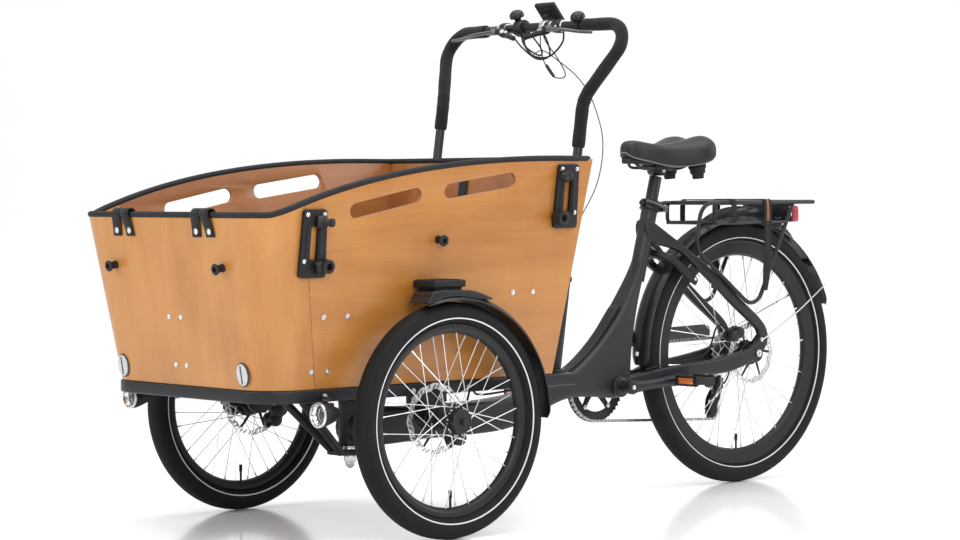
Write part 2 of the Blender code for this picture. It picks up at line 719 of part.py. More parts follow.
def bar_point(y):
    """A point on the top bar's centre line."""
    t = abs(y) / BAR_CORNER.y
    return mirrored(BAR_MIDDLE.lerp(Vector(BAR_CORNER), t), 1 if y >= 0 else -1)


LEVER_PIVOT = {side: bar_point(side * 0.095) + Vector((0.036, side * 0.004, -0.006)) for side in (1, -1)}
DISPLAY_Y = 0.052


def grip(side, word):
    """The foam sleeve, from above the rim, round the corner and part of the way along the top bar."""
    start = POST_FOOT.lerp(POST_BEND, SLEEVE_FOOT[side])
    end = bar_point(0.172)
    path = rounded([mirrored(p, side) for p in (start, POST_BEND, BAR_CORNER, end)], (0.10, BAR_BEND_R))
    sleeve = tube(f"{word}_grip", path, GRIP_R, sides=10)
    bore_path = [path[0] - (path[1] - path[0]) * 0.5, *path[1:-1], path[-1] + (path[-1] - path[-2]).normalized() * 0.02]
    bore = tube("grip_bore", bore_path, BAR_R + 0.0009, sides=12)
    return combine(f"{word}_grip", [sleeve], FOAM, [bore])


def brake_lever(side, word):
    """A blade ahead of the grip that swings back towards it."""
    pivot = LEVER_PIVOT[side]
    tip = pivot + Vector((0.004, side * 0.150, -0.016))
    knee = pivot + Vector((0.010, side * 0.050, -0.004))
    blade = tube(f"{word}_brake_lever", [pivot, knee, tip], 0.0055, sides=6)
    boss = rod("lever_boss", pivot + Vector((0, 0, -0.008)), pivot + Vector((0, 0, 0.008)), 0.0075, sides=10)
    return combine(f"{word}_brake_lever", [blade, boss], BLACK_PAINT)


def display():
    """The rider's display, which tilts on its clamp."""
    pivot = DISPLAY_PIVOT
    frame = Matrix.Translation(pivot) @ Matrix.Rotation(math.radians(-50), 4, "Y")
    body = block("display", (-0.032, -0.034, 0.012), (0.030, 0.034, 0.024), matrix=frame)
    stem = block("display_stem", (-0.004, -0.009, -0.002), (0.006, 0.009, 0.014), matrix=frame)
    return combine("display", [body, stem], BLACK_PLASTIC)


DISPLAY_PIVOT = bar_point(DISPLAY_Y) + Vector((0.0, 0.0, 0.0215))


# ---------------------------------------------------------------- rear frame
FRAME_OUTLINE = (
    (-0.030, 0.178), (-0.250, 0.178), (-0.470, 0.184), (-0.577, 0.217), (-0.674, 0.246), (-0.760, 0.246),
    (-0.845, 0.240), (-0.880, 0.268), (-0.886, 0.330), (-0.893, 0.385), (-0.908, 0.455), (-0.935, 0.530),
    (-0.962, 0.600), (-0.985, 0.665), (-0.950, 0.672), (-0.925, 0.570), (-0.880, 0.487), (-0.826, 0.418),
    (-0.755, 0.352), (-0.673, 0.302), (-0.550, 0.269), (-0.410, 0.255), (-0.200, 0.254), (-0.030, 0.256),
)

STAY_OUTLINE = (
    (-0.968, 0.668), (-1.058, 0.601), (-1.130, 0.548), (-1.229, 0.470), (-1.292, 0.424), (-1.320, 0.393),
    (-1.324, 0.362), (-1.306, 0.334), (-1.259, 0.309), (-1.205, 0.293), (-1.150, 0.286), (-1.050, 0.286),
    (-0.950, 0.272), (-0.860, 0.258), (-0.860, 0.286), (-0.955, 0.303), (-1.031, 0.315), (-1.120, 0.322),
    (-1.200, 0.333), (-1.262, 0.346), (-1.292, 0.366), (-1.290, 0.390), (-1.262, 0.413), (-1.192, 0.463),
    (-1.137, 0.508), (-1.080, 0.558), (-1.030, 0.598), (-0.960, 0.624),
)


STAY_BENDS = (-0.900, -0.948, -0.993, -1.040, -1.100, -1.150)


def stay_offset(x, z):
    """How far a stay stands from the centre plane: it spreads towards the dropout."""
    if z > 0.38:
        near, start, length = 0.022, -0.948, 0.202
    else:
        near, start, length = 0.0265, -0.948, 0.092
    share = min(1.0, max(0.0, (start - x) / length))
    return near + (DROPOUT_Y - near) * share


def stay(side):
    """One side of the rear triangle: a single bent member from the seat tube to the dropout and back."""
    made = plate("stay", [smooth_loop(STAY_OUTLINE, 2)], STAY_THICK, side_plane(0))
    bm = bmesh.new()
    bm.from_mesh(made.data)
    for x in STAY_BENDS:
        every = bm.verts[:] + bm.edges[:] + bm.faces[:]
        bmesh.ops.bisect_plane(bm, geom=every, dist=1e-5, plane_co=(x, 0, 0), plane_no=(1, 0, 0))
    for vertex in bm.verts:
        vertex.co.y += side * stay_offset(vertex.co.x, vertex.co.z)
    bm.to_mesh(made.data)
    bm.free()
    return made


def main_frame():
    """Main tube, web, seat tube, head tube, bracket shell and both stays, welded into one frame."""
    web = plate("main_frame", [smooth_loop(FRAME_OUTLINE, 2)], 2 * FRAME_HALF_WIDTH, side_plane(0))
    for vertex in web.data.vertices:
        slim = min(1.0, max(0.0, (vertex.co.z - 0.45) / 0.20))
        vertex.co.y *= 1 - 0.42 * slim
    bevel = web.modifiers.new("soft_edges", "BEVEL")
    bevel.width = 0.010
    bevel.segments = 2
    bevel.limit_method = "ANGLE"
    bevel.angle_limit = math.radians(60)
    low, high = HEAD_TUBE_Z
    pieces = [
        web,
        rod("head_tube", (KINGPIN_X, 0, low), (KINGPIN_X, 0, high), 0.0265, sides=20),
        rod("seat_tube", SEAT_AXIS_TOP - SEAT_AXIS * 0.205, SEAT_AXIS_TOP, SEAT_TUBE_R, sides=20),
        rod("bracket_shell", BRACKET + Vector((0, -0.036, 0)), BRACKET + Vector((0, 0.044, 0)), 0.0255, sides=20),
        stay(1), stay(-1),
    ]
    for side in (1, -1):
        y0, y1 = side * (DROPOUT_Y - 0.0085), side * (DROPOUT_Y + 0.0085)
        pieces.append(rod("dropout", REAR_AXLE + Vector((0, y0, 0)), REAR_AXLE + Vector((0, y1, 0)), 0.022, sides=16))
    cuts = [
        rod("head_bore", (KINGPIN_X, 0, 0.10), (KINGPIN_X, 0, 0.40), KINGPIN_R + 0.0008, sides=16),
        rod("seat_bore", SEAT_AXIS_TOP - SEAT_AXIS * 0.195, SEAT_AXIS_TOP + SEAT_AXIS * 0.02,
            SEATPOST_R + 0.0008, sides=16),
        rod("bracket_bore", BRACKET + Vector((0, -0.1, 0)), BRACKET + Vector((0, 0.1, 0)), 0.0188, sides=16),
        rod("axle_bore", REAR_AXLE + Vector((0, -0.1, 0)), REAR_AXLE + Vector((0, 0.1, 0)), 0.0056),
        plate("cover_recess", [cover_loop(0.0006)], 0.034, side_plane(0)),
    ]
    return combine("main_frame", pieces, FRAME_PAINT, cuts)


def cover_loop(margin):
    """Side view of the battery cover let into the frame's upper curve."""
    upper = [(-0.852, 0.462), (-0.800, 0.402), (-0.740, 0.347), (-0.672, 0.308)]
    lower = [(-0.684, 0.294), (-0.752, 0.333), (-0.812, 0.390), (-0.858, 0.447)]
    nose = [(-0.610 + 4 * margin, 0.290), (-0.618 + 4 * margin, 0.277 - margin)]
    return [(x, z + margin) for x, z in upper] + nose + [(x - margin, z - margin) for x, z in lower]


def frame_fittings():
    plate("battery_cover", [cover_loop(0.0)], 0.0325, side_plane(0), PARTS, BLACK_PLASTIC)
    sleeve = [circle((0, 0), 0.0182, 16), circle((0, 0), 0.0092, 14)]
    matrix = Matrix.Translation(BRACKET + Vector((0, 0.003, 0))) @ Matrix.Rotation(math.pi / 2, 4, "X")
    plate("bottom_bracket", sleeve, 0.088, matrix, PARTS, STEEL)


def seat_matrix(drop):
    """A frame whose Z runs up the seat tube and whose Y is the bike's Y, this far below its top."""
    matrix = Matrix.Identity(4)
    matrix.col[0][:3] = Vector((0, 1, 0)).cross(SEAT_AXIS)
    matrix.col[2][:3] = SEAT_AXIS
    matrix.col[3][:3] = SEAT_AXIS_TOP - SEAT_AXIS * drop
    return matrix


def saddle_group():
    top = SEAT_AXIS_TOP
    rod("seatpost", top - SEAT_AXIS * 0.110, top + SEAT_AXIS * 0.062, SEATPOST_R, PARTS, BLACK_PAINT, sides=18)
    ring = plate("seat_clamp", [circle((0, 0), 0.0262, 18), circle((0, 0), SEAT_TUBE_R + 0.0006, 18)],
                 0.026, seat_matrix(0.014))
    lug = block("clamp_lug", (-0.036, -0.012, -0.008), (-0.023, 0.012, 0.008), matrix=seat_matrix(0.014))
    combine("seat_clamp", [ring, lug], BLACK_PAINT)
    run = [seat_matrix(0.014) @ Vector(p) for p in (CLAMP_PIVOT, (-0.012, 0.0375, 0), (0.044, 0.031, 0.002))]
    arm = tube("seat_clamp_lever", run, 0.0045, sides=6)
    cam = rod("lever_cam", run[0] - SEAT_AXIS * 0.008, run[0] + SEAT_AXIS * 0.008, 0.0075)
    combine("seat_clamp_lever", [arm, cam], BLACK_PAINT)
    hinge = SADDLE_PIVOT
    clamp = rod("saddle_rails", hinge + Vector((0, -0.024, 0)), hinge + Vector((0, 0.024, 0)), 0.0135, sides=12)
    pieces = [clamp]
    for side in (1, -1):
        path = [(-0.912, side * 0.012, 0.8185), (-0.930, side * 0.017, 0.803), (-0.965, side * 0.021, hinge.z + 0.006),
                (-1.055, side * 0.021, hinge.z + 0.004), (-1.090, side * 0.034, hinge.z + 0.022),
                (-1.093, side * 0.046, 0.8195)]
        pieces.append(tube("rail", path, 0.0038, sides=6))
    pieces.append(block("nose_link", (-0.925, -0.016, 0.812), (-0.902, 0.016, 0.8232)))
    pieces.append(block("cradle", (hinge.x - 0.026, -0.027, hinge.z - 0.002), (hinge.x + 0.026, 0.027, hinge.z + 0.013)))
    combine("saddle_rails", pieces, BLACK_PAINT)
    half = [(-0.888, 0.012), (-0.896, 0.023), (-0.925, 0.030), (-0.970, 0.036), (-1.010, 0.052),
            (-1.052, 0.082), (-1.090, 0.099), (-1.124, 0.096), (-1.141, 0.070), (-1.136, 0.035)]
    loop = half + [(x, -y) for x, y in reversed(half)]
    matrix = Matrix.Translation((0, 0, sum(SADDLE_Z) / 2))
    pad = plate("saddle", [loop], SADDLE_Z[1] - SADDLE_Z[0], matrix, PARTS, SADDLE_SKIN)
    soft = pad.modifiers.new("soft_edges", "BEVEL")
    soft.width = 0.014
    soft.segments = 2
    soft.limit_method = "ANGLE"
    soft.angle_limit = math.radians(60)


CLAMP_PIVOT = (-0.0315, 0.0205, 0.0)
SADDLE_PIVOT = SEAT_AXIS_TOP + SEAT_AXIS * 0.0765


# ---------------------------------------------------------------- drive train
def belt(circles, grow, step=math.radians(20)):
    """A closed line round circles of (centre, radius, side), side -1 where it bends the other way."""
    tangents = []
    for (c1, r1, s1), (c2, r2, s2) in zip(circles, circles[1:] + circles[:1]):
        r1, r2 = r1 + s1 * grow, r2 + s2 * grow
        run = Vector(c2) - Vector(c1)
        heading = math.atan2(run.y, run.x) + math.asin((s1 * r1 - s2 * r2) / run.length)
        tangents.append((heading, r1, r2))
    out = []
    for i, (centre, _, side) in enumerate(circles):
        arrive, _, radius = tangents[i - 1]
        leave = tangents[i][0]
        start = arrive - side * math.pi / 2
        turn = (side * (leave - arrive)) % (2 * math.pi) * side
        parts = max(2, round(abs(turn) / step))
        out += [
            (centre[0] + radius * math.cos(start + turn * k / parts),
             centre[1] + radius * math.sin(start + turn * k / parts))
            for k in range(parts + 1)
        ]
    return out


def chain():
    axle = (REAR_AXLE.x, REAR_AXLE.z)
    circles = [
        (axle, COG_R, 1), (GUIDE_PULLEY, PULLEY_R, -1), (TENSION_PULLEY, PULLEY_R, 1),
        ((BRACKET.x, BRACKET.z), CHAINRING_R, 1),
    ]
    loops = [belt(circles, CHAIN_HALF), belt(circles, -CHAIN_HALF)]
    return plate("chain", loops, 0.008, side_plane(CHAIN_Y), PARTS, STEEL)


def cassette():
    """Seven cogs as one stepped cone, with plain edges where the teeth would be."""
    profile = [
        (0.0285, -0.0575), (0.0285, -0.0530), (0.0318, -0.0528), (0.0318, -0.0434), (0.0400, -0.0432),
        (0.0400, -0.0370), (0.0520, -0.0368), (0.0520, -0.0310), (0.0060, -0.0275), (0.0060, -0.0575),
    ]
    return turned("cassette", list(reversed(profile)), REAR_AXLE, PARTS, STEEL, steps=24)


def pulleys_and_derailleur():
    for word, (x, z) in (("guide", GUIDE_PULLEY), ("tension", TENSION_PULLEY)):
        loops = [circle((x, z), PULLEY_R - 0.0045, 14), circle((x, z), 0.0028, 8)]
        plate(f"{word}_pulley", loops, 0.007, side_plane(CHAIN_Y), PARTS, BLACK_PLASTIC)
    (gx, gz), (tx, tz) = GUIDE_PULLEY, TENSION_PULLEY
    cage = [(gx - 0.011, gz + 0.004), (gx - 0.004, gz + 0.013), (gx + 0.010, gz + 0.006),
            (tx + 0.012, tz - 0.002), (tx + 0.004, tz - 0.013), (tx - 0.010, tz - 0.006)]
    pieces = [plate("derailleur", [cage], 0.003, side_plane(-0.0560))]
    for x, z in (GUIDE_PULLEY, TENSION_PULLEY):
        pieces.append(rod("pulley_pin", (x, -0.0565, z), (x, -0.0435, z), 0.0022, sides=8))
    pieces.append(rod("cage_pivot", (gx, -0.0555, gz), (gx, -0.088, gz), 0.013, sides=12))
    hanger = Vector((REAR_AXLE.x - 0.004, -0.0735, REAR_AXLE.z - 0.030))
    pieces.append(rod("knuckle", (gx, -0.078, gz), hanger, 0.010, sides=10))
    pieces.append(rod("hanger_bolt", hanger + Vector((0, -0.010, 0)), hanger + Vector((0, 0.006, 0)), 0.0075, sides=10))
    return combine("derailleur", pieces, BLACK_PLASTIC)


def crank_end(side):
    """The pedal end of a crank: the left one points back and slightly up, the right one opposite."""
    reach = Vector((-math.cos(CRANK_RISE), 0, math.sin(CRANK_RISE))) * CRANK_LENGTH * side
    return BRACKET + reach


def crank_arm(side, y0, y1):
    """The tapered arm with its pedal axle."""
    end = crank_end(side)
    low, high = sorted((side * y0, side * y1))
    across = Vector((0, 1, 0))
    pieces = []
    middle = (low + high) / 2
    run = end - BRACKET
    turn = Matrix.Rotation(-math.atan2(run.z, run.x), 4, "Y")
    matrix = Matrix.Translation(BRACKET + across * middle) @ turn
    thick = (high - low) / 2
    pieces.append(block("arm", (0, -thick + 0.001, -0.011), (CRANK_LENGTH, thick - 0.001, 0.011), matrix=matrix))
    pieces.append(rod("arm_eye", BRACKET + across * low, BRACKET + across * high, 0.0165, sides=14))
    pieces.append(rod("pedal_eye", end + across * low, end + across * high, 0.0125, sides=12))
    pieces.append(rod("pedal_axle", end + across * middle, end + across * side * (PEDAL_Y + 0.037), 0.0042, sides=8))
    return pieces


def cranks():
    left = crank_arm(1, 0.070, 0.086)
    combine("left_crank_arm", left, BLACK_PAINT)
    windows = []
    for i in range(5):
        start = 2 * math.pi * i / 5 + 0.25
        outer = circle((0, 0), CHAINRING_R - 0.020, 5, start, 0.86)
        inner = circle((0, 0), 0.030, 3, start + 0.72, -0.58)
        windows.append([(BRACKET.x + x, BRACKET.z + z) for x, z in outer + inner])
    ring_loop = circle((BRACKET.x, BRACKET.z), CHAINRING_R - 0.0055, 40)
    ring = plate("right_crank", [ring_loop, *windows], 0.003, side_plane(CHAIN_Y - 0.002))
    spindle = rod("spindle", BRACKET + Vector((0, -0.072, 0)), BRACKET + Vector((0, 0.0696, 0)), 0.0086, sides=14)
    boss = rod("spider", BRACKET + Vector((0, -0.072, 0)), BRACKET + Vector((0, -0.0445, 0)), 0.024, sides=16)
    combine("right_crank", [ring, spindle, boss, *crank_arm(-1, 0.068, 0.084)], BLACK_PAINT)


def pedal(side, word):
    """A platform pedal with two open windows, turning on the crank's axle."""
    end = crank_end(side)
    y = side * PEDAL_Y
    body = block(f"{word}_pedal", (end.x - 0.034, y - 0.038, end.z - 0.0125), (end.x + 0.034, y + 0.038, end.z + 0.0125))
    bore = rod("pedal_bore", (end.x, y - 0.06, end.z), (end.x, y + 0.06, end.z), 0.0049, sides=8)
    windows = [
        block("pedal_window", (end.x + a, y - 0.029, end.z - 0.05), (end.x + b, y + 0.029, end.z + 0.05))
        for a, b in ((-0.027, -0.012), (0.012, 0.027))
    ]
    return combine(f"{word}_pedal", [body], BLACK_PLASTIC, [bore, *windows])


def chain_guard():
    """An inverted channel over the upper run of the chain."""
    start, end = Vector((-0.905, 0, 0.378)), Vector((-1.232, 0, 0.386))
    run = end - start
    matrix = Matrix.Translation(start + Vector((0, CHAIN_Y - 0.002, 0))) @ Matrix.Rotation(math.atan2(run.z, -run.x), 4, "Y")
    length = run.length
    shell = block("chain_guard", (-length, -0.0115, -0.014), (0, 0.0115, 0.018), matrix=matrix)
    hollow = block("guard_hollow", (-length - 0.01, -0.0085, -0.03), (0.01, 0.0085, 0.0155), matrix=matrix)
    return combine("chain_guard", [shell], BLACK_PLASTIC, [hollow])


# ---------------------------------------------------------------- rear fittings
def rear_mudguard():
    radius = 0.3440
    profile = [(radius - 0.008, 0.0295), (radius, 0.022), (radius + 0.002, 0.008),
               (radius + 0.002, -0.008), (radius, -0.022), (radius - 0.008, -0.0295)]
    return turned("rear_mudguard", profile, REAR_AXLE, PARTS, BLACK_PLASTIC, steps=28,
                  arc=math.radians(164), start=math.radians(161), thickness=0.0025)


def rear_rack():
    """A tubular carrier: one closed loop each side, joined across the top and behind the lamp."""
    pieces = []
    for side in (1, -1):
        y = side * RACK_Y
        loop = rounded(
            [(-1.30, y, RACK_Z), (-1.078, y, RACK_Z), (-1.056, y, 0.600), (-1.269, y, 0.441), (-1.411, y, RACK_Z)],
            (0.045, 0.045, 0.040), 4,
        )
        pieces.append(tube("rack_loop", loop, 0.0052, sides=6))
        pieces.append(tube("rack_rail", [(-1.130, y, RACK_Z), (RACK_END_X, y, RACK_Z)], 0.0056, sides=6))
        pieces.append(tube("rack_low_rail", [(-1.122, y, 0.664), (-1.386, y, 0.664)], 0.0045, sides=6))
    pieces.append(tube("rack_low_cross", [(-1.122, -RACK_Y, 0.664), (-1.122, RACK_Y, 0.664)], 0.0045, sides=6))
    for x in (-1.140, -1.255, -1.360, RACK_END_X + 0.006):
        pieces.append(tube("rack_cross", [(x, -RACK_Y, RACK_Z), (x, RACK_Y, RACK_Z)], 0.0054, sides=6))
    pieces.append(block("lamp_plate", (-1.410, -RACK_Y, 0.674), (-1.394, RACK_Y, RACK_Z)))
    pieces.append(block("lamp_arm", (-1.451, -0.022, 0.670), (-1.404, 0.022, RACK_Z - 0.006)))
    return combine("rear_rack", [pieces[1], pieces[0], *pieces[2:]], BLACK_PAINT)


RACK_Y = 0.0826
RACK_Z = 0.714
RACK_END_X = -1.488


def tail_light():
    made = block("tail_light", (-1.476, -0.045, 0.662), (-1.4514, 0.045, 0.704), PARTS, RED_LENS)
    soft = made.modifiers.new("soft_edges", "BEVEL")
    soft.width = 0.006
    soft.segments = 2
    return made


LOCK_TIP = Vector((-1.098, 0.0, 0.514))
LOCK_RISE = math.radians(34)


def ring_lock():
    """A horseshoe lock that straddles the rear tyre just below the seat stays."""
    along = Vector((math.cos(LOCK_RISE), 0, math.sin(LOCK_RISE)))
    matrix = Matrix.Identity(4)
    matrix.col[0][:3] = (0, 1, 0)
    matrix.col[1][:3] = along
    matrix.col[2][:3] = Vector((0, 1, 0)).cross(along)
    matrix.col[3][:3] = LOCK_TIP
    arch = 0.085
    outer = circle((0, arch), 0.057, 9, 0, math.pi)
    inner = circle((0, arch), 0.0375, 7, math.pi, -math.pi)
    loop = [(0.053, 0.0), *outer, (-0.053, 0.0), (-0.039, 0.0), *inner, (0.039, 0.0)]
    return plate("ring_lock", [loop], 0.020, matrix, PARTS, BLACK_PLASTIC)


# ---------------------------------------------------------------- assembly
for side, word in ((1, "left"), (-1, "right")):
    front_wheel(side, f"front_{word}")
    side_panel(side, word)
    tent_bracket(f"{word}_front_bracket", side, 0.338, 0.643, 0.012)
    tent_bracket(f"{word}_rear_bracket", side, -0.368, 0.737, -0.012)
    headlight(side, word)
    front_mudguard(side, word)
    grip(side, word)
    brake_lever(side, word)
    pedal(side, word)
rear_wheel()
front_panel()
rear_panel()
floor_panel()
tube("box_edge_trim", trim_path(), TRIM_R, PARTS, TRIM_RUBBER, sides=6, closed=True)
bench()
chassis()
steering_head()
handlebar()
display()
main_frame()
frame_fittings()
saddle_group()
chain()
cassette()
pulleys_and_derailleur()
cranks()
chain_guard()
rear_mudguard()
rear_rack()
tail_light()
ring_lock()


# ---------------------------------------------------------------- pivots
def hang(pivot_name, place_at, names, parent=ORIGIN, axis=(0, 1, 0)):
    """Hangs the named parts from an empty on their joint, its Z along the joint's axis."""
    pivot = bpy.data.objects.new(pivot_name, None)
    PARTS.objects.link(pivot)
    turn = Vector(axis).to_track_quat("Z", "Y")
    there = Matrix.LocRotScale(Vector(place_at), turn, None)
    pivot.parent = parent
    if parent is not ORIGIN:
        pivot.matrix_parent_inverse = Matrix(parent["rest"]).inverted()
    pivot.matrix_basis = there
    pivot["rest"] = [list(row) for row in there]
    for name in names:
        part = bpy.data.objects[name]
        part.parent = pivot
        part.matrix_parent_inverse = there.inverted()
    return pivot


WHEEL_PARTS = ("tyre", "rim", "hub", "rotor")
STEERED = (
    "front_chassis", "kingpin", "steering_bearing_upper", "steering_bearing_lower", "box_front_panel",
    "box_left_panel", "box_right_panel", "box_rear_panel", "box_floor", "box_edge_trim", "handlebar",
    "left_grip", "right_grip", "left_mudguard", "right_mudguard", "left_front_bracket",
    "right_front_bracket", "left_rear_bracket", "right_rear_bracket",
)
steering = hang("steering_pivot", (KINGPIN_X, 0, HEAD_TUBE_Z[0]), STEERED, axis=(0, 0, 1))
hang("bench_pivot", BENCH_HINGE, ["bench_seat"], steering, (0, -1, 0))
hang("display_pivot", DISPLAY_PIVOT, ["display"], steering)
hang("rear_wheel_pivot", REAR_AXLE, [f"rear_{part}" for part in WHEEL_PARTS])
hang("cassette_pivot", REAR_AXLE, ["cassette"])
crank = hang("crank_pivot", BRACKET, ["right_crank", "left_crank_arm"])
for side, word in ((1, "left"), (-1, "right")):
    wheel_centre = (0, side * TRACK / 2, FRONT_TYRE_R)
    hang(f"front_{word}_wheel_pivot", wheel_centre, [f"front_{word}_{part}" for part in WHEEL_PARTS], steering)
    hang(f"{word}_pedal_pivot", crank_end(side) + Vector((0, side * PEDAL_Y, 0)), [f"{word}_pedal"], crank)
    hang(f"{word}_lever_pivot", LEVER_PIVOT[side], [f"{word}_brake_lever"], steering, (0, 0, side))
    hang(f"{word}_headlight_pivot", mirrored(LAMP_PIVOT, side), [f"{word}_headlight"], steering)
for word, (x, z) in (("guide", GUIDE_PULLEY), ("tension", TENSION_PULLEY)):
    hang(f"{word}_pulley_pivot", (x, CHAIN_Y, z), [f"{word}_pulley"])
post = hang("seatpost_pivot", SEAT_AXIS_TOP, ["seatpost"], axis=SEAT_AXIS)
hang("saddle_pivot", SADDLE_PIVOT, ["saddle", "saddle_rails"], post)
hang("clamp_lever_pivot", seat_matrix(0.014) @ Vector(CLAMP_PIVOT), ["seat_clamp_lever"], axis=SEAT_AXIS)
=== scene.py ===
"""The looks of the cargo tricycle.

Lengths are metres in the row frame: +X forward, +Y to the rider's left, +Z up. Most places are measured
from the ground below the front axle, as the part itself is, and at() moves them into the row frame.
"""

import json
import math

import bmesh
import bpy
from mathutils import Matrix, Vector

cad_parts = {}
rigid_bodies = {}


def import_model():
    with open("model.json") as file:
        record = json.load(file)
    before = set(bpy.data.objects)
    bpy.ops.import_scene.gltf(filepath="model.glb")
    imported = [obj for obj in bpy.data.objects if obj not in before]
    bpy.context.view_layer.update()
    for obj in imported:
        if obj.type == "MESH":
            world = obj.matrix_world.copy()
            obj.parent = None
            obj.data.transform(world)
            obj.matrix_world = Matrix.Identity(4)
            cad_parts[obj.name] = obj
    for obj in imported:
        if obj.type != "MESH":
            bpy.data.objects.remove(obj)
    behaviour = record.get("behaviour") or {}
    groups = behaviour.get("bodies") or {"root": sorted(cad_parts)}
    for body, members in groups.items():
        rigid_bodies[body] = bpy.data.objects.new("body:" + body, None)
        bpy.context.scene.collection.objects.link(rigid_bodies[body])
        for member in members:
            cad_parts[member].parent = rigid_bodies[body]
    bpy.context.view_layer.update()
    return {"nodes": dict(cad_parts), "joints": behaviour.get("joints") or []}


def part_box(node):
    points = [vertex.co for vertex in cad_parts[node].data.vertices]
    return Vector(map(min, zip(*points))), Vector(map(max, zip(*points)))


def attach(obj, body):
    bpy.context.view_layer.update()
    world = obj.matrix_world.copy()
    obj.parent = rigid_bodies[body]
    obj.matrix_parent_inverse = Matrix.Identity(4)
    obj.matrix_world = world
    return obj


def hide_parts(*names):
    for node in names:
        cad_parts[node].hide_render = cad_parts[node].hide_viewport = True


for old in list(bpy.data.objects):
    bpy.data.objects.remove(old)
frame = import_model()


def middle(node):
    """The centre of a node's box."""
    low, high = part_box(node)
    return (low + high) / 2


def radius_of(node):
    """Half the height of a round node that stands upright."""
    low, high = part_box(node)
    return (high.z - low.z) / 2


AXLE_X = middle("front_left_tyre").x


def at(x, y, z):
    """A point of the row frame, given from the ground below the front axle."""
    return Vector((x + AXLE_X, y, z))


def joint_at(name):
    """Where a joint of the part sits."""
    return Vector(next(j["pos_m"] for j in frame["joints"] if j["name"] == name))


# ---------------------------------------------------------------- materials
class Nodes:
    """A material's node tree with short ways to add and join nodes."""

    def __init__(self, name, **values):
        self.material = bpy.data.materials.new(name)
        self.material.use_nodes = True
        self.tree = self.material.node_tree
        self.shader = self.tree.nodes["Principled BSDF"]
        self.coordinates = self.tree.nodes.new("ShaderNodeTexCoord").outputs["Object"]
        for key, value in values.items():
            self.shader.inputs[key.replace("_", " ")].default_value = value

    def node(self, kind, inputs=None, **settings):
        made = self.tree.nodes.new(kind)
        for key, value in settings.items():
            setattr(made, key, value)
        for key, value in (inputs or {}).items():
            if isinstance(value, bpy.types.NodeSocket):
                self.tree.links.new(value, made.inputs[key])
            else:
                made.inputs[key].default_value = value
        return made

    def link(self, output, key):
        self.tree.links.new(output, self.shader.inputs[key])

    def scaled(self, stretch):
        return self.node("ShaderNodeMapping", {"Vector": self.coordinates, "Scale": stretch}).outputs[0]

    def noise(self, scale, detail=4.0, stretch=(1, 1, 1), rough=0.6):
        inputs = {"Vector": self.scaled(stretch), "Scale": scale, "Detail": detail, "Roughness": rough}
        return self.node("ShaderNodeTexNoise", inputs).outputs["Fac"]

    def ramp(self, value, stops):
        made = self.node("ShaderNodeValToRGB", {"Fac": value})
        points = made.color_ramp.elements
        while len(points) < len(stops):
            points.new(0.5)
        for point, (place, colour) in zip(points, stops):
            point.position = place
            point.color = (*colour, 1) if len(colour) == 3 else colour
        return made.outputs["Color"]

    def math(self, operation, a, b=0.0):
        return self.node("ShaderNodeMath", {0: a, 1: b}, operation=operation).outputs[0]

    def mix(self, amount, a, b, blend="MIX"):
        made = self.node("ShaderNodeMix", data_type="RGBA", blend_type=blend)
        for key, value in ((0, amount), (6, a), (7, b)):
            if isinstance(value, bpy.types.NodeSocket):
                self.tree.links.new(value, made.inputs[key])
            elif key == 0:
                made.inputs[key].default_value = value
            else:
                made.inputs[key].default_value = (*value, 1)
        return made.outputs[2]

    def bump(self, height, strength, distance=0.001):
        made = self.node("ShaderNodeBump", {"Height": height, "Strength": strength, "Distance": distance})
        self.link(made.outputs[0], "Normal")

    def spread(self, value, low, high):
        return self.node("ShaderNodeMapRange", {"Value": value, "To Min": low, "To Max": high}).outputs[0]


def shade(colour, factor):
    """The colour made darker or lighter."""
    return tuple(min(1.0, c * factor) for c in colour)


def painted(name, colour, rough, grain=900, bump=0.12, metallic=0.0, coat=0.0, vary=0.16, shine=0.28):
    """Powder coat, anodising or moulded plastic: fine grain, faint blotches, and a painted highlight that
    lightens the edges.
    """
    n = Nodes(name, Metallic=metallic, Coat_Weight=coat, Specular_IOR_Level=shine)
    blotch = n.noise(9, 3)
    base = n.ramp(blotch, [(0.3, shade(colour, 1 - vary)), (0.7, shade(colour, 1 + vary))])
    # Painted highlight: convex edges, found by pointiness, are mixed towards a lighter colour.
    edge = n.node("ShaderNodeNewGeometry").outputs["Pointiness"]
    painted_edge_highlight = n.ramp(edge, [(0.50, (0, 0, 0)), (0.58, (1, 1, 1))])
    amount = n.math("MULTIPLY", painted_edge_highlight, 0.22)
    n.link(n.mix(amount, base, tuple(min(1, c * 1.6 + 0.02) for c in colour)), "Base Color")
    n.link(n.spread(n.noise(60, 3), rough - 0.06, rough + 0.06), "Roughness")
    n.bump(n.noise(grain, 2), bump, 0.0004)
    return n.material


def bare_metal(name, colour, rough, stretch=(1, 1, 1), scale=300):
    """Plated or polished metal with faint rub marks."""
    n = Nodes(name, Metallic=1.0)
    streak = n.noise(scale, 3, stretch)
    n.link(n.ramp(streak, [(0.3, shade(colour, 0.82)), (0.7, colour)]), "Base Color")
    n.link(n.spread(n.noise(40, 4), rough - 0.07, rough + 0.12), "Roughness")
    n.bump(streak, 0.05, 0.0003)
    return n.material


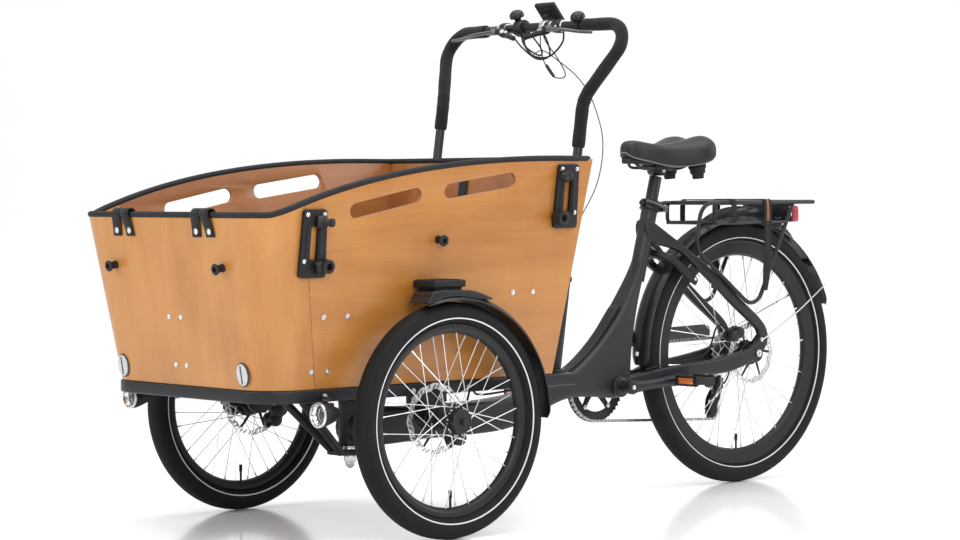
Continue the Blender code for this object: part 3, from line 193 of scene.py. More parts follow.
def plywood(name, grain_axis, light, dark):
    """Varnished veneer: long fibres along grain_axis, broad figure, pores and a clear coat."""
    n = Nodes(name, Coat_Weight=0.35, Coat_Roughness=0.22)
    fine = [260.0, 260.0, 260.0]
    broad = [22.0, 22.0, 22.0]
    fine[grain_axis], broad[grain_axis] = 7.0, 2.2
    warp = n.noise(1.0, 2, tuple(broad), 0.5)
    fibre = n.noise(1.0, 5, tuple(fine), 0.65)
    pore = n.noise(1.0, 2, tuple(2.6 * f for f in fine), 0.5)
    halfway = tuple((a + b) / 2 for a, b in zip(light, dark))
    figure = n.ramp(warp, [(0.25, dark), (0.5, halfway), (0.75, light)])
    toned = n.mix(0.22, figure, n.ramp(fibre, [(0.35, shade(dark, 0.86)), (0.6, light)]))
    cloud = n.ramp(n.noise(3.4, 4), [(0.32, (0.80, 0.70, 0.56)), (0.60, (1, 1, 1))])
    toned = n.mix(0.75, toned, cloud, "MULTIPLY")
    flecks = n.ramp(pore, [(0.30, (0.80, 0.72, 0.66)), (0.42, (1, 1, 1))])
    n.link(n.mix(0.25, toned, flecks, "MULTIPLY"), "Base Color")
    n.link(n.spread(fibre, 0.34, 0.46), "Roughness")
    n.bump(fibre, 0.06, 0.0005)
    return n.material


def ply_edge(name):
    """The cut edge of the plywood: thin alternating layers."""
    n = Nodes(name)
    layers = n.noise(1.0, 1, (500, 500, 60))
    n.link(n.ramp(layers, [(0.4, (0.16, 0.055, 0.016)), (0.6, (0.36, 0.14, 0.04))]), "Base Color")
    n.shader.inputs["Roughness"].default_value = 0.6
    n.bump(layers, 0.2, 0.0005)
    return n.material


def tyre_rubber(name, wheel_radius):
    """Rubber with a shallow grooved tread on the crown and a fine moulded rib on the sidewall; the grooves
    get a painted shade.
    """
    n = Nodes(name, Specular_IOR_Level=0.22)
    split = n.node("ShaderNodeSeparateXYZ", {"Vector": n.coordinates})
    x, y, z = (split.outputs[k] for k in range(3))
    angle = n.math("ARCTAN2", z, x)
    radius = n.math("SQRT", n.math("ADD", n.math("MULTIPLY", x, x), n.math("MULTIPLY", z, z)))
    lean = n.math("MULTIPLY", n.math("ABSOLUTE", y), 260.0)
    count = round(2 * math.pi * wheel_radius / 0.011)
    groove = n.math("SINE", n.math("ADD", n.math("MULTIPLY", angle, float(count)), lean))
    crown = n.node("ShaderNodeMapRange", {
        "Value": radius, "From Min": wheel_radius - 0.020, "From Max": wheel_radius - 0.012}).outputs[0]
    cut = n.math("MULTIPLY", n.math("LESS_THAN", groove, -0.55), crown)
    ribs = n.math("SINE", n.math("MULTIPLY", n.math("ABSOLUTE", y), 780.0))
    band = n.math("LESS_THAN", ribs, -0.62)
    tread = n.math("MAXIMUM", cut, n.math("MULTIPLY", band, crown))
    rings = n.math("MULTIPLY", n.math("SINE", n.math("MULTIPLY", radius, 2600.0)), 0.06)
    dust = n.noise(22, 4)
    base = n.ramp(dust, [(0.3, (0.0040, 0.0041, 0.0046)), (0.75, (0.0080, 0.0082, 0.0090))])
    # Painted shade: the tread grooves are mixed towards a darker black.
    n.link(n.mix(n.math("MULTIPLY", tread, 0.7), base, (0.003, 0.003, 0.003)), "Base Color")
    n.link(n.spread(dust, 0.62, 0.78), "Roughness")
    relief = n.math("ADD", rings, n.math("MULTIPLY", n.noise(500, 2), 0.1))
    n.bump(n.math("SUBTRACT", relief, tread), 0.7, 0.0015)
    return n.material


def foam(name):
    """Closed-cell foam: matt, with fine pores."""
    n = Nodes(name, Sheen_Weight=0.08, Specular_IOR_Level=0.2)
    cells = n.node("ShaderNodeTexVoronoi", {"Vector": n.coordinates, "Scale": 900.0}).outputs["Distance"]
    tone = [(0.3, (0.006, 0.006, 0.0065)), (0.7, (0.013, 0.013, 0.014))]
    n.link(n.ramp(n.noise(30, 4), tone), "Base Color")
    n.shader.inputs["Roughness"].default_value = 0.92
    n.bump(cells, 0.55, 0.0008)
    return n.material


def vinyl(name):
    """Smooth stretch upholstery with a fine leather-like grain."""
    n = Nodes(name, Sheen_Weight=0.05, Coat_Weight=0.06, Coat_Roughness=0.5, Specular_IOR_Level=0.35)
    grain = n.node("ShaderNodeTexVoronoi", {"Vector": n.coordinates, "Scale": 620.0}).outputs["Distance"]
    tone = [(0.3, (0.0034, 0.0034, 0.0044)), (0.7, (0.0066, 0.0066, 0.0078))]
    n.link(n.ramp(n.noise(14, 4), tone), "Base Color")
    n.link(n.spread(grain, 0.40, 0.56), "Roughness")
    n.bump(grain, 0.16, 0.0005)
    return n.material


def webbing(name, colour):
    """Woven strap: fine ribs both ways."""
    n = Nodes(name, Sheen_Weight=0.1, Roughness=0.85, Specular_IOR_Level=0.2)
    ribs = n.node("ShaderNodeTexWave", {"Vector": n.coordinates, "Scale": 420.0, "Distortion": 0.4},
                  bands_direction="Z").outputs["Fac"]
    cross = n.node("ShaderNodeTexWave", {"Vector": n.coordinates, "Scale": 300.0, "Distortion": 0.4},
                   bands_direction="X").outputs["Fac"]
    weave = n.math("MULTIPLY", ribs, cross)
    n.link(n.ramp(weave, [(0.1, shade(colour, 0.6)), (0.7, shade(colour, 1.3))]), "Base Color")
    n.bump(weave, 0.5, 0.0006)
    return n.material


def lens(name, colour):
    """Moulded lens with fine vertical prisms."""
    n = Nodes(name, Transmission_Weight=0.35, IOR=1.49, Coat_Weight=1.0, Coat_Roughness=0.04)
    prism = n.node("ShaderNodeTexWave", {"Vector": n.coordinates, "Scale": 220.0},
                   bands_direction="Y").outputs["Fac"]
    n.link(n.ramp(prism, [(0.2, shade(colour, 0.75)), (0.8, shade(colour, 1.2))]), "Base Color")
    n.shader.inputs["Roughness"].default_value = 0.12
    n.bump(prism, 0.5, 0.0008)
    return n.material


def clear_glass(name):
    """Clear moulded glass with faint ripples."""
    n = Nodes(name, Transmission_Weight=1.0, IOR=1.30, Coat_Weight=0.3)
    ripple = n.noise(160, 2)
    n.link(n.ramp(ripple, [(0.3, (0.93, 0.95, 0.96)), (0.7, (1, 1, 1))]), "Base Color")
    n.link(n.spread(ripple, 0.01, 0.05), "Roughness")
    n.bump(ripple, 0.12, 0.0005)
    return n.material


FRAME_PAINT = painted("frame_anthracite", (0.0105, 0.0112, 0.0135), 0.44, 1400, 0.10, shine=0.36)
CHASSIS_PAINT = painted("chassis_black", (0.009, 0.0095, 0.011), 0.42, 1300, 0.10, coat=0.05)
BAR_PAINT = painted("bar_black", (0.008, 0.008, 0.009), 0.36, 900, 0.06, coat=0.08)
PLASTIC = painted("moulded_black", (0.008, 0.008, 0.009), 0.48, 700, 0.22)
GUARD_PLASTIC = painted("mudguard_black", (0.010, 0.0105, 0.012), 0.34, 600, 0.10, coat=0.12)
GREY_PLASTIC = painted("moulded_grey", (0.045, 0.046, 0.050), 0.50, 700, 0.2)
LEVER_METAL = painted("lever_satin", (0.105, 0.107, 0.112), 0.34, 500, 0.05, metallic=0.7)
RUBBER = painted("black_rubber", (0.011, 0.011, 0.012), 0.66, 500, 0.25, shine=0.22)
RIM_BLACK = painted("rim_anodised", (0.010, 0.010, 0.011), 0.40, 900, 0.05)
STEEL = bare_metal("plated_steel", (0.72, 0.72, 0.73), 0.26)
SPOKE_STEEL = bare_metal("spoke_steel", (0.86, 0.86, 0.87), 0.30)
BRUSHED = bare_metal("ground_disc", (0.62, 0.62, 0.63), 0.33, (3, 1, 3), 180)
CHAIN_STEEL = bare_metal("chain_steel", (0.42, 0.41, 0.40), 0.38)
CHROME = bare_metal("chrome", (0.90, 0.90, 0.91), 0.12)
SIDE_WOOD = plywood("varnished_side", 0, (0.470, 0.200, 0.036), (0.350, 0.130, 0.018))
FRONT_WOOD = plywood("varnished_front", 2, (0.500, 0.222, 0.046), (0.400, 0.158, 0.028))
# Painted shade: a darker copy of the varnished plywood for the inside of the box, where less light falls.
SHADED_INNER_WOOD = plywood("varnished_inside_painted_shade", 0, (0.320, 0.122, 0.026), (0.215, 0.070, 0.012))
EDGE_WOOD = ply_edge("plywood_edge")
FOAM = foam("grip_foam")
VINYL = vinyl("saddle_vinyl")
STRAP = webbing("black_webbing", (0.010, 0.010, 0.011))
BELT = webbing("belt_webbing", (0.018, 0.019, 0.022))
STRAP_BROWN = webbing("elastic_brown", (0.030, 0.018, 0.013))
ELASTIC_TAN = webbing("elastic_tan", (0.28, 0.115, 0.055))
REFLECTIVE = painted("reflective_line", (0.55, 0.56, 0.58), 0.35, 300, 0.05, vary=0.06)
CLEAR_LENS = clear_glass("clear_lens")
WHITE_REFLECTOR = lens("white_reflector", (0.78, 0.80, 0.82))
RED_LENS = lens("red_lens", (0.50, 0.010, 0.035))
ORANGE_LENS = lens("orange_reflector", (0.85, 0.20, 0.02))
PIPING = painted("piping_grey", (0.16, 0.16, 0.165), 0.5, 300, 0.05)
GLASS_BLACK = painted("screen_black", (0.008, 0.008, 0.009), 0.12, 60, 0.0, coat=1.0, vary=0.02)


# ---------------------------------------------------------------- building blocks
def piece(name, bm, material, body, hides=(), sharp=32, bevel=0.0, extra=()):
    """An object from a bmesh, riding on a body. Its origin goes to the middle of its box."""
    bmesh.ops.remove_doubles(bm, verts=bm.verts[:], dist=2e-6)
    bm.normal_update()
    bmesh.ops.recalc_face_normals(bm, faces=bm.faces[:])
    low = Vector([min(v.co[k] for v in bm.verts) for k in range(3)])
    high = Vector([max(v.co[k] for v in bm.verts) for k in range(3)])
    origin = (low + high) / 2
    bm.transform(Matrix.Translation(-origin))
    mesh = bpy.data.meshes.new(name)
    bm.to_mesh(mesh)
    bm.free()
    mesh.shade_smooth()
    mesh.set_sharp_from_angle(angle=math.radians(sharp))
    made = bpy.data.objects.new(name, mesh)
    bpy.context.scene.collection.objects.link(made)
    made.location = origin
    for each in (material, *extra):
        mesh.materials.append(each)
    if bevel:
        soft = made.modifiers.new("edges", "BEVEL")
        soft.width = bevel
        soft.segments = 3
        soft.limit_method = "ANGLE"
        soft.angle_limit = math.radians(38)
        soft.harden_normals = True
    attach(made, body)
    if hides:
        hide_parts(*hides)
    return made


def frames_along(points, closed):
    """A tangent and a normal at each point, turned as little as possible from one to the next."""
    count = len(points)
    tangents = []
    for i in range(count):
        before = points[(i - 1) % count] if closed or i else points[i]
        after = points[(i + 1) % count] if closed or i < count - 1 else points[i]
        tangents.append((after - before).normalized())
    normal = tangents[0].orthogonal().normalized()
    normals = [normal]
    for a, b in zip(tangents, tangents[1:]):
        normal = a.rotation_difference(b) @ normal
        normal = (normal - b * normal.dot(b)).normalized()
        normals.append(normal)
    return tangents, normals


def ring_faces(bm, rings, closed):
    """Skins a list of equal rings of vertices and caps its ends where it isn't closed."""
    spans = list(zip(rings, rings[1:]))
    if closed:
        spans.append((rings[-1], rings[0]))
    for a, b in spans:
        count = len(a)
        for j in range(count):
            bm.faces.new((a[j], a[(j + 1) % count], b[(j + 1) % count], b[j]))
    if not closed:
        bm.faces.new(list(reversed(rings[0])))
        bm.faces.new(rings[-1])


def tube(bm, points, radius, sides=14, closed=False, radii=None, flat=None):
    """Sweeps a round, or flattened, section along points."""
    points = [Vector(p) for p in points]
    tangents, normals = frames_along(points, closed)
    rings = []
    for i, (point, tangent, normal) in enumerate(zip(points, tangents, normals)):
        across = tangent.cross(normal)
        r = radii[i] if radii else radius
        if flat:
            across = flat.cross(tangent).normalized() if flat.cross(tangent).length > 1e-6 else across
            normal = tangent.cross(across)
        wide, thick = r if isinstance(r, tuple) else (r, r)
        rings.append([bm.verts.new(point + across * math.cos(a) * wide + normal * math.sin(a) * thick)
                      for a in angles(sides)])
    ring_faces(bm, rings, closed)
    return bm


def strap(bm, points, wide, thick, side):
    """A flat band along points, its width along side."""
    points = [Vector(p) for p in points]
    side = Vector(side).normalized()
    right = [(0.94, -1), (1, -0.55), (1, 0.55), (0.94, 1)]
    corners = [(-1, -0.55), (-0.94, -1), *right, (-0.94, 1), (-1, 0.55)]
    rings = []
    tangents, _ = frames_along(points, False)
    for point, tangent in zip(points, tangents):
        up = tangent.cross(side).normalized()
        rings.append([bm.verts.new(point + side * a * wide / 2 + up * b * thick / 2) for a, b in corners])
    ring_faces(bm, rings, False)
    return bm


def lathe(bm, profile, centre, axis=(0, 1, 0), steps=96):
    """Turns a closed profile of (radius, along axis) points round axis through centre."""
    axis = Vector(axis).normalized()
    u = Vector((1, 0, 0)) if abs(axis.x) < 0.9 else Vector((0, 0, 1))
    u = (u - axis * u.dot(axis)).normalized()
    v = u.cross(axis)
    rings = []
    for a in angles(steps):
        out = u * math.cos(a) + v * math.sin(a)
        rings.append([bm.verts.new(centre + out * r + axis * h) for r, h in profile])
    ring_faces(bm, rings, True)
    return bm


def cylinder(bm, start, end, radius, sides=24, soft=0.0):
    """A rod with slightly rounded ends."""
    start, end = Vector(start), Vector(end)
    soft = min(soft, 0.45 * (end - start).length, 0.8 * radius)
    run = (end - start).normalized()
    if not soft:
        return tube(bm, [start, end], radius, sides)
    near = [start, start + run * soft * 0.3, start + run * soft]
    far = [end - run * soft, end - run * soft * 0.3, end]
    radii = [radius - soft, radius - soft * 0.3, radius]
    return tube(bm, near + far, radius, sides, radii=radii + radii[::-1])


def box(bm, low, high, matrix=None, soft=0.0, segments=2):
    """A block with rounded edges."""
    low, high = Vector(low), Vector(high)
    made = bmesh.ops.create_cube(bm, size=1)
    verts = made["verts"]
    fit = Matrix.LocRotScale((low + high) / 2, None, high - low)
    bmesh.ops.transform(bm, matrix=fit, verts=verts)
    if soft:
        edges = list({e for v in verts for e in v.link_edges})
        made = bmesh.ops.bevel(bm, geom=edges, offset=soft, segments=segments, affect="EDGES", profile=0.5)
        verts = list({v for f in made["faces"] for v in f.verts} | {v for v in verts if v.is_valid})
    if matrix:
        bmesh.ops.transform(bm, matrix=matrix, verts=verts)
    return bm


def plate(bm, loops, thickness, matrix, soft=0.0, segments=2):
    """A flat sheet with holes and rounded rims. loops[0] is its outline, the rest are holes."""
    data = bpy.data.curves.new("plate", "CURVE")
    data.dimensions = "2D"
    data.fill_mode = "BOTH"
    data.extrude = thickness / 2 - soft
    data.bevel_depth = soft
    data.bevel_resolution = segments
    data.offset = -soft
    for loop in loops:
        spline = data.splines.new("POLY")
        spline.points.add(len(loop) - 1)
        for corner, point in zip(spline.points, loop):
            corner.co = (point[0], point[1], 0, 1)
        spline.use_cyclic_u = True
    drawn = bpy.data.objects.new("plate", data)
    mesh = bpy.data.meshes.new_from_object(drawn)
    mesh.transform(matrix)
    bm.from_mesh(mesh)
    bpy.data.objects.remove(drawn)
    bpy.data.meshes.remove(mesh)
    return bm


def side_plane(y):
    """A plane across the width at y: its X runs forward from the front axle and its Y runs up."""
    return Matrix.Translation((AXLE_X, y, 0)) @ Matrix.Rotation(math.pi / 2, 4, "X")


def axes(across, along, normal, origin):
    """A matrix from its three axes and its origin."""
    matrix = Matrix.Identity(4)
    for index, value in enumerate((across, along, normal, origin)):
        matrix.col[index][:3] = value
    return matrix


def angles(count, phase=0.0):
    """Equal steps round a full turn."""
    return [2 * math.pi * (i + phase) / count for i in range(count)]


def circle(centre, radius, count, start=0.0, turn=2 * math.pi):
    """Points of a circle, or of an arc that keeps both its ends."""
    parts = count if abs(turn) > 6.28 else count - 1
    return [
        (centre[0] + radius * math.cos(start + turn * i / parts),
         centre[1] + radius * math.sin(start + turn * i / parts))
        for i in range(count)
    ]


def rounded(points, radii, count=12):
    """A polyline whose inner corners are arcs of these radii."""
    points = [Vector(p) for p in points]
    if not isinstance(radii, (tuple, list)):
        radii = [radii] * (len(points) - 2)
    out = [points[0]]
    for before, corner, after, radius in zip(points, points[1:], points[2:], radii):
        a, b = (before - corner).normalized(), (after - corner).normalized()
        half = a.angle(b) / 2
        reach = radius / math.tan(half)
        centre = corner + (a + b).normalized() * radius / math.sin(half)
        first, last = corner + a * reach - centre, corner + b * reach - centre
        for i in range(count):
            out.append(centre + first.slerp(last, i / (count - 1)).normalized() * radius)
    return out + [points[-1]]


def smooth(points, per_span, closed=False):
    """A Catmull-Rom line through points of any dimension."""
    points = [Vector(p) for p in points]
    count, out = len(points), []
    for i in range(count if closed else count - 1):
        if closed:
            p0, p1, p2, p3 = (points[(i + k - 1) % count] for k in range(4))
        else:
            p0, p1, p2, p3 = (points[min(max(i + k - 1, 0), count - 1)] for k in range(4))
        for j in range(per_span):
            t = j / per_span
            out.append(0.5 * (
                2 * p1 + (p2 - p0) * t + (2 * p0 - 5 * p1 + 4 * p2 - p3) * t * t
                + (3 * p1 - p0 - 3 * p2 + p3) * t ** 3
            ))
    return out if closed else [*out, points[-1]]


def flip(point, side):
    """The point on the given side of the centre plane."""
    return Vector((point[0], side * point[1], point[2]))


SIDES = ((1, "left"), (-1, "right"))


def screws(name, spots, radius, body):
    """Button-head screws, each on its washer, at (point, outward direction)."""
    bm = bmesh.new()
    for point, out in spots:
        head = [(0.0001, 0.0034), (radius * 0.45, 0.0032), (radius * 0.80, 0.0024), (radius * 0.92, 0.0010)]
        washer = [(radius * 1.25, 0.0008), (radius * 1.28, -0.0008), (0.0001, -0.0008)]
        lathe(bm, head + washer, point, out, steps=20)
        socket = [(0.0001, 0.0036), (radius * 0.30, 0.0036), (radius * 0.34, 0.0028), (0.0001, 0.0028)]
        lathe(bm, socket, point, out, steps=6)
    piece(name, bm, STEEL, body)


# ---------------------------------------------------------------- wheels
def tyre_section(radius, bead, half, count=40):
    """The tyre's round section, from bead to bead over the crown."""
    centre, reach = (radius + bead) / 2 + 0.001, (radius - bead) / 2 - 0.001
    points = []
    for i in range(count + 1):
        a = math.radians(-152 + 304 * i / count)
        squared = abs(math.cos(a)) ** 0.92 * math.copysign(1, math.cos(a))
        points.append((centre + reach * squared, half * math.sin(a)))
    return points


def tyre_and_line(prefix, centre, radius, bead, line_radius, body):
    """A tyre and the reflective line on both of its sidewalls."""
    section = tyre_section(radius, bead, 0.0265)
    closed = [*section, (bead + 0.001, 0.0085), (bead + 0.001, -0.0085)]
    rubber = tyre_rubber(f"{prefix}_rubber", radius)
    piece(f"{prefix}_tyre_surface", lathe(bmesh.new(), closed, centre, steps=160), rubber, body,
          [f"{prefix}_tyre"], sharp=50)
    nearest = min(range(len(section) // 2), key=lambda i: abs(section[i][0] - line_radius))
    bm = bmesh.new()
    for side in (1, -1):
        r, y = section[nearest][0], abs(section[nearest][1]) * side
        line = [(r - 0.0015, y - side * 0.0020), (r - 0.0013, y + side * 0.0004),
                (r + 0.0013, y + side * 0.0007), (r + 0.0015, y - side * 0.0015)]
        lathe(bm, line, centre, steps=160)
    piece(f"{prefix}_reflective_line", bm, REFLECTIVE, body)


def rim_ring(prefix, centre, inner, outer, body):
    """A double-wall rim with rounded shoulders."""
    profile = [
        (outer, 0.0135), (outer + 0.0025, 0.0128), (outer + 0.0025, 0.0115), (outer - 0.001, 0.0108),
        (outer - 0.002, -0.0108), (outer + 0.0025, -0.0115), (outer + 0.0025, -0.0128), (outer, -0.0135),
        (outer - 0.006, -0.0134), (inner + 0.006, -0.0105), (inner + 0.002, -0.0060), (inner, 0.0),
        (inner + 0.002, 0.0060), (inner + 0.006, 0.0105), (outer - 0.006, 0.0134),
    ]
    piece(f"{prefix}_rim_surface", lathe(bmesh.new(), profile, centre, steps=160), RIM_BLACK, body,
          [f"{prefix}_rim"], sharp=28)


def lacing(prefix, centre, inner, flanges, flange_r, body, count=36):
    """Crossed spokes with their nipples, heads and the tyre's valve."""
    spokes, nipples = bmesh.new(), bmesh.new()
    for i in range(count):
        rim_angle = 2 * math.pi * (i + 0.5) / count
        flange = flanges[i % 2]
        lead = math.radians(64) * (1 if i % 4 < 2 else -1)
        hub_angle = rim_angle + lead
        elbow = flange + (0.0022 if lead > 0 else -0.0022)
        start = centre + Vector((flange_r * math.cos(hub_angle), elbow, flange_r * math.sin(hub_angle)))
        reach = inner + 0.004
        end = centre + Vector((reach * math.cos(rim_angle), 0.12 * flange, reach * math.sin(rim_angle)))
        tube(spokes, [start, end], 0.00105, sides=8)
        cylinder(nipples, end, end + (start - end).normalized() * 0.013, 0.0019, sides=8)
        cylinder(nipples, start + Vector((0, -0.0018, 0)), start + Vector((0, 0.0018, 0)), 0.0019, sides=8)
    piece(f"{prefix}_spokes", spokes, SPOKE_STEEL, body)
    piece(f"{prefix}_nipples", nipples, STEEL, body)
    down = centre + Vector((0, 0, -inner))
    valve, up = bmesh.new(), Vector((0, 0, 1))
    cylinder(valve, down - up * 0.004, down + up * 0.030, 0.0028, sides=12)
    cylinder(valve, down + up * 0.020, down + up * 0.037, 0.0040, sides=12, soft=0.001)
    piece(f"{prefix}_valve", valve, RUBBER, body)


def brake_disc(prefix, y, centre, body):
    """A ground disc with drilled holes on a black six-armed carrier."""
    radius = radius_of(f"{prefix}_rotor")
    loops = []
    for mean, swing in ((radius - 0.0016, 0.0014), (radius - 0.0150, 0.0022)):
        reach = [(mean + swing * math.cos(12 * a), a) for a in angles(192)]
        loops.append([(r * math.cos(a), r * math.sin(a)) for r, a in reach])
    for i in range(36):
        a = 2 * math.pi * (i + 0.5) / 36
        lead = 0.055 if i % 2 else 0.10
        low, high = radius - 0.0118 + 0.0012 * (i % 2), radius - 0.0050
        start = Vector((low * math.cos(a), low * math.sin(a)))
        end = Vector((high * math.cos(a + lead), high * math.sin(a + lead)))
        turn = math.atan2((end - start).y, (end - start).x)
        loops.append(circle(end, 0.0019, 7, turn - math.pi / 2, math.pi)
                     + circle(start, 0.0019, 7, turn + math.pi / 2, math.pi))
    here = Matrix.Translation((centre.x, y, centre.z)) @ Matrix.Rotation(math.pi / 2, 4, "X")
    piece(f"{prefix}_disc", plate(bmesh.new(), loops, 0.0019, here, 0.0002), BRUSHED, body,
          [f"{prefix}_rotor"])
    carrier = bmesh.new()
    plate(carrier, [circle((0, 0), 0.030, 48), circle((0, 0), 0.0185, 32)], 0.0026, here, 0.0004)
    for a in angles(6):
        root = Vector((centre.x + 0.027 * math.cos(a - 0.25), y, centre.z + 0.027 * math.sin(a - 0.25)))
        reach = radius - 0.014
        tip = Vector((centre.x + reach * math.cos(a), y, centre.z + reach * math.sin(a)))
        tube(carrier, [root, tip], 0.004, sides=8, radii=[(0.0045, 0.0013), (0.0030, 0.0013)],
             flat=Vector((0, 1, 0)))
    piece(f"{prefix}_disc_carrier", carrier, CHASSIS_PAINT, body)


def front_wheel(side, word):
    """Tyre, rim, spokes and disc, and a flanged hub with a broad outer cover."""
    prefix, body = f"front_{word}", f"front_{word}_wheel"
    centre = middle(f"{prefix}_tyre")
    tyre_and_line(prefix, centre, radius_of(f"{prefix}_tyre"), 0.2055, 0.2225, body)
    rim_ring(prefix, centre, 0.1875, 0.2055, body)
    lacing(prefix, centre, 0.1875, (-side * 0.026, side * 0.026), 0.0310, body)
    brake_disc(prefix, middle(f"{prefix}_rotor").y, centre, body)
    profile = [
        (0.0070, 0.0440), (0.0235, 0.0440), (0.0258, 0.0425), (0.0264, 0.0400), (0.0260, 0.0330),
        (0.0275, 0.0290), (0.0345, 0.0284), (0.0352, 0.0276), (0.0352, 0.0244), (0.0340, 0.0234),
        (0.0200, 0.0205), (0.0150, 0.0120), (0.0150, -0.0120), (0.0200, -0.0205), (0.0325, -0.0230),
        (0.0335, -0.0240), (0.0335, -0.0280), (0.0325, -0.0290), (0.0220, -0.0310), (0.0200, -0.0400),
        (0.0160, -0.0455), (0.0070, -0.0455),
    ]
    profile = [(r, side * y) for r, y in profile]
    piece(f"{prefix}_hub_shell", lathe(bmesh.new(), profile, centre, steps=64), BAR_PAINT, body,
          [f"{prefix}_hub"])
    cap = [(0.0001, 0.0468), (0.0042, 0.0466), (0.0056, 0.0455), (0.0058, 0.0438), (0.0001, 0.0438)]
    cap = [(r, side * y) for r, y in cap]
    piece(f"{prefix}_hub_cap", lathe(bmesh.new(), cap, centre, steps=48), STEEL, body)
    out, reach = Vector((0, side, 0)), 0.0316
    heads = [(centre + out * 0.0286 + Vector((reach * math.cos(a), 0, reach * math.sin(a))), out)
             for a in angles(9, 0.25)]
    screws(f"{prefix}_flange_heads", heads, 0.0019, body)


def rear_wheel():
    """Tyre, rim, spokes and disc, and a hub whose left flange stands further out."""
    body, centre = "rear_wheel", middle("rear_tyre")
    tyre_and_line("rear", centre, radius_of("rear_tyre"), 0.2825, 0.293, body)
    rim_ring("rear", centre, 0.2465, 0.2825, body)
    lacing("rear", centre, 0.2465, (-0.021, 0.033), 0.0290, body)
    brake_disc("rear", middle("rear_rotor").y, centre, body)
    profile = [
        (0.0070, 0.0550), (0.0180, 0.0550), (0.0190, 0.0535), (0.0190, 0.0400), (0.0230, 0.0365),
        (0.0312, 0.0358), (0.0320, 0.0348), (0.0320, 0.0305), (0.0305, 0.0295), (0.0240, 0.0260),
        (0.0210, 0.0150), (0.0210, -0.0080), (0.0240, -0.0170), (0.0305, -0.0195), (0.0320, -0.0205),
        (0.0320, -0.0232), (0.0300, -0.0250), (0.0200, -0.0262), (0.0070, -0.0262),
    ]
    piece("rear_hub_shell", lathe(bmesh.new(), profile, centre, steps=64), BAR_PAINT, body, ["rear_hub"])


for side, word in SIDES:
    front_wheel(side, word)
rear_wheel()


# ---------------------------------------------------------------- cargo box
FRONT = "front_assembly"
BOX_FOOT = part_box("box_left_panel")[0].z
FRONT_FOOT_X, REAR_FOOT_X, END_LEAN = 0.425, -0.373, 0.153
FOOT_HALF_WIDTH, SIDE_LEAN, CORNER_R, SEAM_BACK = 0.302, 0.12, 0.090, 0.122
PANEL = 0.010
SEAM_HALF = 0.0006
END_TILT = math.atan(END_LEAN)
FRONT_OUT = Vector((math.cos(END_TILT), 0, -math.sin(END_TILT)))
REAR_IN = Vector((math.cos(END_TILT), 0, math.sin(END_TILT)))
SIDE_TILT = math.atan(SIDE_LEAN)
DROP = 0.008
TRIM_DROP = 0.0070
RIM_CURVE = ((0.44, 0.709), (0.40, 0.712), (0.18, 0.835), (-0.40, 0.827))
RIM_STEPS = 48


def rim_table():
    """The side panels' curved top as a table of (x, z)."""
    (x0, z0), (x1, z1), (x2, z2), (x3, z3) = RIM_CURVE
    table = []
    for i in range(401):
        t = i / 400
        a, b, c, d = (1 - t) ** 3, 3 * t * (1 - t) ** 2, 3 * t * t * (1 - t), t ** 3
        table.append((x0 * a + x1 * b + x2 * c + x3 * d, z0 * a + z1 * b + z2 * c + z3 * d))
    return table


RIM_TABLE = rim_table()


def rim_z(x):
    """Height of the box's rim at x from the front axle."""
    if x >= RIM_TABLE[0][0]:
        return RIM_TABLE[0][1]
    for (xa, za), (xb, zb) in zip(RIM_TABLE, RIM_TABLE[1:]):
        if x >= xb:
            return za + (zb - za) * (x - xa) / (xb - xa)
    return RIM_TABLE[-1][1]


def front_x(z):
    """Where the front panel's outer face stands at height z."""
    return FRONT_FOOT_X + END_LEAN * (z - BOX_FOOT)


def rear_x(z):
    """Where the rear panel's outer face stands at height z."""
    return REAR_FOOT_X - END_LEAN * (z - BOX_FOOT)


def half_width(z):
    """How far a side panel's outer face stands from the centre plane at height z."""
    return FOOT_HALF_WIDTH + SIDE_LEAN * (z - BOX_FOOT)


def corner_plan(z, inset=0.0, steps=20):
    """The bent front panel's plan at height z, from the left seam round to the right one."""
    front, half, radius = front_x(z) - inset, half_width(z) - inset, CORNER_R - inset
    left = [(front - SEAM_BACK + inset, half)]
    for i in range(steps + 1):
        a = math.pi / 2 * i / steps
        left.append((front - radius + radius * math.sin(a), half - radius + radius * math.cos(a)))
    left += [(front, (half - radius) * (1 - i / 6)) for i in range(1, 6)]
    return left + [(front, 0.0)] + [(x, -y) for x, y in reversed(left)]


def column(index, inset, drop):
    """Where one upright line of the front panel reaches the rim, less drop."""
    z = rim_z(FRONT_FOOT_X)
    for _ in range(5):
        z = rim_z(corner_plan(z, inset)[index][0]) - drop
    x, y = corner_plan(z, inset)[index]
    return at(x, y, z)


def edge_faces(made, direction, limit=0.6):
    """Gives the cut-edge finish to the faces that don't look along direction."""
    direction = Vector(direction).normalized()
    for face in made.data.polygons:
        if abs(face.normal.dot(direction)) < limit:
            face.material_index = 1


def inner_faces(made, direction):
    """Gives the darker inside wood, a painted shade for the inside of the box, to the faces that look against
    direction.
    """
    for face in made.data.polygons:
        if face.normal.dot(direction) < -0.8:
            face.material_index = 2


def front_panel():
    """The front panel, bent round both corners, as upright strips from its foot to the rim."""
    bm = bmesh.new()
    plan = corner_plan(BOX_FOOT)
    inner_plan = corner_plan(BOX_FOOT, PANEL)
    rings = []
    for i in range(len(plan)):
        outer_low, inner_low = at(*plan[i], BOX_FOOT), at(*inner_plan[i], BOX_FOOT)
        outer_high, inner_high = column(i, 0, DROP), column(i, PANEL, DROP)
        share = [k / 8 for k in range(9)]
        ring = [outer_low.lerp(outer_high, s) for s in share] + [inner_high.lerp(inner_low, s) for s in share]
        rings.append([bm.verts.new(p) for p in ring])
    ring_faces(bm, rings, False)
    piece("box_front_veneer", bm, FRONT_WOOD, FRONT, ["box_front_panel"], sharp=50, bevel=0.0012)


